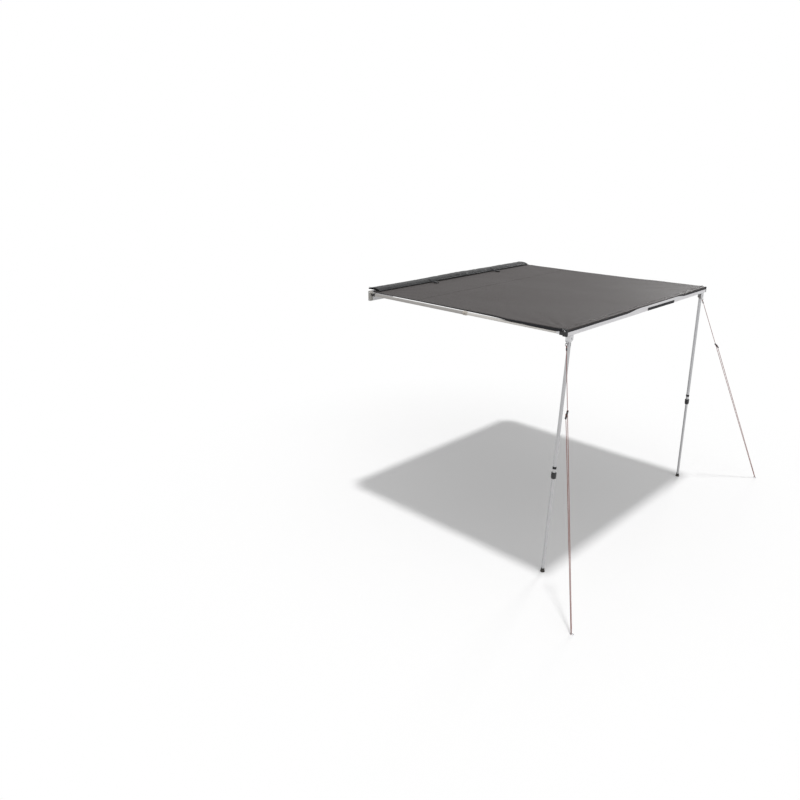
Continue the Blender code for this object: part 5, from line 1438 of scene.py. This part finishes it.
def button_screw(radius):
    """A button head screw with a hexagon socket, standing on z = 0."""
    piece = disc(36, radius, radius * 0.5)
    select_faces(piece, lambda centre, normal: normal.z > 0.9)
    bpy.ops.mesh.bevel(offset=radius * 0.42, segments=5, affect="EDGES", clamp_overlap=True)
    bpy.ops.object.mode_set(mode="OBJECT")
    bpy.ops.mesh.primitive_cylinder_add(vertices=6, radius=radius * 0.42, depth=radius * 0.7,
                                        location=(0, 0, radius * 0.55))
    key = bpy.context.object
    apply_modifier(piece, "BOOLEAN", operation="DIFFERENCE", object=key, solver="EXACT")
    bpy.data.objects.remove(key, do_unlink=True)
    smooth_below(piece, 30)
    return piece


def pop_rivet(radius):
    """A domed blind rivet with its broken mandrel, standing on z = 0."""
    piece = disc(28, radius, radius * 0.22)
    for inset, rise, above in ((0.12, 0.12, 0.0), (0.20, 0.10, 0.0), (0.22, 0.05, 0.0),
                               (0.10, -0.25, 0.4)):
        select_faces(piece, lambda centre, normal: normal.z > 0.9 and centre.z > radius * above)
        bpy.ops.mesh.inset(thickness=radius * inset)
        bpy.ops.mesh.extrude_region_move(TRANSFORM_OT_translate={"value": (0, 0, radius * rise)})
    bpy.ops.object.mode_set(mode="OBJECT")
    smooth_below(piece, 40)
    return piece


def set_down(mesh, point, way):
    """Move a mesh that stands on z = 0 to a point, standing out in a direction."""
    turn = UP.rotation_difference(Vector(way)).to_matrix().to_4x4()
    mesh.transform(Matrix.Translation(Vector(point)) @ turn)


def steel_copies(master, places):
    """Copies of a modelled piece, each with its own mesh, at (name, body, point, way)."""
    for name, body, point, way in places:
        mesh = master.data.copy()
        set_down(mesh, point, way)
        belongs(mesh_piece(name, mesh, "plated_steel"), body)
    bpy.data.objects.remove(master, do_unlink=True)


def leg_down(side):
    """The direction down a leg."""
    return Vector((side * math.sin(LEG_SPLAY), 0, -math.cos(LEG_SPLAY)))


def on_leg(side, along, outwards=0.0):
    """World point on a leg at a distance below its pivot, moved outwards."""
    return mirrored(side, LEG_PIVOT) + leg_down(side) * along + OUT * outwards


class AWNING_OT_small_hardware(Step, bpy.types.Operator):
    """Add screws, rivets and the rubber bands on the legs."""

    bl_idname = "awning.small_hardware"
    bl_label = "Small hardware"

    def execute(self, context):
        hardware = context.scene.awning_hardware
        screws, rivets = [], []
        for end, side in ENDS:
            for name, body, y, z in SCREWS:
                screws.append((f"{end}_{name}", body, (side * END_X, y, z), (side, 0, 0)))
            for number, along in enumerate(RIVETS_ALONG, 1):
                rivets.append((f"{end}_leg_rivet_{number}", f"{end}_leg",
                               on_leg(side, along, RIVET_HEIGHT), OUT))
                rivets.append((f"{end}_arm_rivet_{number}", f"{end}_arm",
                               (side * ARM_X, ARM_TUBE_START + along, ARM_LEVEL + RIVET_HEIGHT),
                               UP))
        steel_copies(button_screw(hardware.screw_radius), screws)
        steel_copies(pop_rivet(hardware.rivet_radius), rivets)
        for end, side in ENDS:
            self.band(hardware, end, side)
        return {"FINISHED"}

    def band(self, hardware, end, side):
        """The rubber band on a leg's outer tube."""
        deselect_all()
        bpy.ops.mesh.primitive_cylinder_add(vertices=40, radius=BAND_RADIUS,
                                            depth=hardware.band_width, end_fill_type="NOTHING")
        piece = bpy.context.object
        apply_modifier(piece, "SOLIDIFY", thickness=BAND_WALL, offset=-1)
        bevel_edges(piece, 0.0006, 3, 50)
        smooth_below(piece, 35)
        set_down(piece.data, on_leg(side, hardware.band_place), leg_down(side))
        piece.name = f"{end}_leg_band"
        coat(piece, "black_rubber")
        belongs(piece, f"{end}_leg")


def seen_straight(tree):
    """1 for rays that show the surround itself, also mirrored or through glass, and else 0."""
    rays = add_node(tree, "ShaderNodeLightPath").outputs
    value = rays["Is Camera Ray"]
    for name in ("Is Glossy Ray", "Is Transmission Ray"):
        value = add_node(tree, "ShaderNodeMath", {0: value, 1: rays[name]},
                         operation="MAXIMUM").outputs[0]
    return value


def way_at(bearing, height):
    """The direction at a bearing from +X and a height, both in radians."""
    return Vector((math.cos(height) * math.cos(bearing), math.cos(height) * math.sin(bearing),
                   math.sin(height)))


class AWNING_OT_stage(Step, bpy.types.Operator):
    """Set the camera, the lights and the plain floor."""

    bl_idname = "awning.stage"
    bl_label = "Stage"

    def execute(self, context):
        scene = context.scene
        stage = scene.awning_stage
        scene.camera = self.camera(stage.lens)
        data = bpy.data.lights.new("top_light", "AREA")
        data.shape = "DISK"
        data.size = stage.top_width
        above_floor = stage.top_place[2] + STAND_HEIGHT
        data.energy = stage.top_strength * math.pi * above_floor ** 2
        self.placed(data).location = stage.top_place
        self.wide_light("front_light", stage.front_strength, *FRONT_LAMP)
        self.wide_light("far_light", stage.far_strength, *FAR_LAMP)

        scene.world = bpy.data.worlds.new("pale_surround")
        scene.world.use_nodes = True
        tree = scene.world.node_tree
        back = tree.nodes["Background"]
        sky = (stage.sky_strength,) * 3
        tree.links.new(add_tint(tree, seen_straight(tree), sky, WHITE), back.inputs["Color"])
        back.inputs["Strength"].default_value = 1.0
        self.floor()

        scene.view_settings.view_transform = "Standard"
        return {"FINISHED"}

    def placed(self, data):
        """A new camera or lamp in the scene."""
        made = bpy.data.objects.new(data.name, data)
        bpy.context.scene.collection.objects.link(made)
        return made

    def camera(self, lens):
        """The camera that looks from the photograph's place."""
        data = bpy.data.cameras.new("photo_camera")
        data.lens = lens
        data.sensor_width = SENSOR_WIDTH
        ahead = way_at(CAMERA_YAW, CAMERA_PITCH)
        right = ahead.cross(UP).normalized()
        above = right.cross(ahead)
        right, above = (right * math.cos(CAMERA_ROLL) + above * math.sin(CAMERA_ROLL),
                        above * math.cos(CAMERA_ROLL) - right * math.sin(CAMERA_ROLL))
        turn = Matrix((right, above, -ahead)).transposed().to_4x4()
        camera = self.placed(data)
        camera.matrix_world = Matrix.Translation(CAMERA_PLACE) @ turn
        return camera

    def wide_light(self, name, strength, width, bearing, height):
        """A far softbox, its width, bearing from +X and height in degrees."""
        data = bpy.data.lights.new(name, "SUN")
        data.energy = strength
        data.angle = math.radians(width)
        source = way_at(math.radians(bearing), math.radians(height))
        self.placed(data).rotation_euler = source.to_track_quat("Z", "Y").to_euler()

    def floor(self):
        """A wide pale floor at the level of the feet, white to the eye further out."""
        deselect_all()
        bpy.ops.mesh.primitive_plane_add(size=FLOOR_SIZE, location=(0, 0, -STAND_HEIGHT))
        floor = bpy.context.object
        floor.name = "studio_floor"
        material = bpy.data.materials.new("pale_floor")
        material.use_nodes = True
        tree = material.node_tree
        shader = tree.nodes["Principled BSDF"]
        shader.inputs["Roughness"].default_value = 1.0
        shader.inputs["Specular IOR Level"].default_value = 0.0
        seen = seen_straight(tree)
        tree.links.new(add_tint(tree, seen, FLOOR_GREY, WHITE), shader.inputs["Base Color"])
        place = add_node(tree, "ShaderNodeTexCoord").outputs["Object"]
        distance = add_node(tree, "ShaderNodeVectorMath", {0: place, 1: FLOOR_CENTRE},
                            operation="DISTANCE").outputs["Value"]
        beyond = add_node(tree, "ShaderNodeMapRange", {
            "Value": distance, "From Min": FLOOR_WHITE_FROM, "From Max": FLOOR_WHITE_TO})
        glow = add_node(tree, "ShaderNodeMath", {0: beyond.outputs[0], 1: seen},
                        operation="MULTIPLY")
        white = add_node(tree, "ShaderNodeEmission")
        blend = add_node(tree, "ShaderNodeMixShader", {
            0: glow.outputs[0], 1: shader.outputs[0], 2: white.outputs[0]})
        tree.links.new(blend.outputs[0], tree.nodes["Material Output"].inputs["Surface"])
        floor.data.materials.append(material)


class AWNING_PT_looks(bpy.types.Panel):
    """Sizes, colours and steps of the awning's looks."""

    bl_idname = "AWNING_PT_looks"
    bl_label = "Side awning"
    bl_space_type = "VIEW_3D"
    bl_region_type = "UI"
    bl_category = "Awning"

    def draw(self, context):
        scene = context.scene
        for group in (scene.awning_cloth, scene.awning_hardware, scene.awning_stage):
            box = self.layout.box()
            for key in group.bl_rna.properties.keys():
                if key not in ("rna_type", "name"):
                    box.prop(group, key)
        for operator in OPERATORS:
            self.layout.operator(operator.bl_idname)


GROUPS = (ClothSettings, HardwareSettings, StageSettings)
OPERATORS = (AWNING_OT_stage, AWNING_OT_finishes, AWNING_OT_guy_ropes, AWNING_OT_canopy,
             AWNING_OT_front_hem, AWNING_OT_cover_bag, AWNING_OT_straps,
             AWNING_OT_rounded_parts, AWNING_OT_small_hardware)


def register():
    """Register the settings, the operators and the panel."""
    for group in (*GROUPS, *OPERATORS, AWNING_PT_looks):
        bpy.utils.register_class(group)
    bpy.types.Scene.awning_cloth = bpy.props.PointerProperty(type=ClothSettings)
    bpy.types.Scene.awning_hardware = bpy.props.PointerProperty(type=HardwareSettings)
    bpy.types.Scene.awning_stage = bpy.props.PointerProperty(type=StageSettings)


def unregister():
    """Take them away again."""
    del bpy.types.Scene.awning_cloth
    del bpy.types.Scene.awning_hardware
    del bpy.types.Scene.awning_stage
    for group in reversed((*GROUPS, *OPERATORS, AWNING_PT_looks)):
        bpy.utils.unregister_class(group)


def main():
    """Register everything and build the looks in order."""
    register()
    steps = bpy.ops.awning
    steps.stage()
    steps.finishes()
    steps.guy_ropes()
    steps.canopy()
    steps.front_hem()
    steps.cover_bag()
    steps.straps()
    steps.rounded_parts()
    steps.small_hardware()


if __name__ == "__main__":
    main()
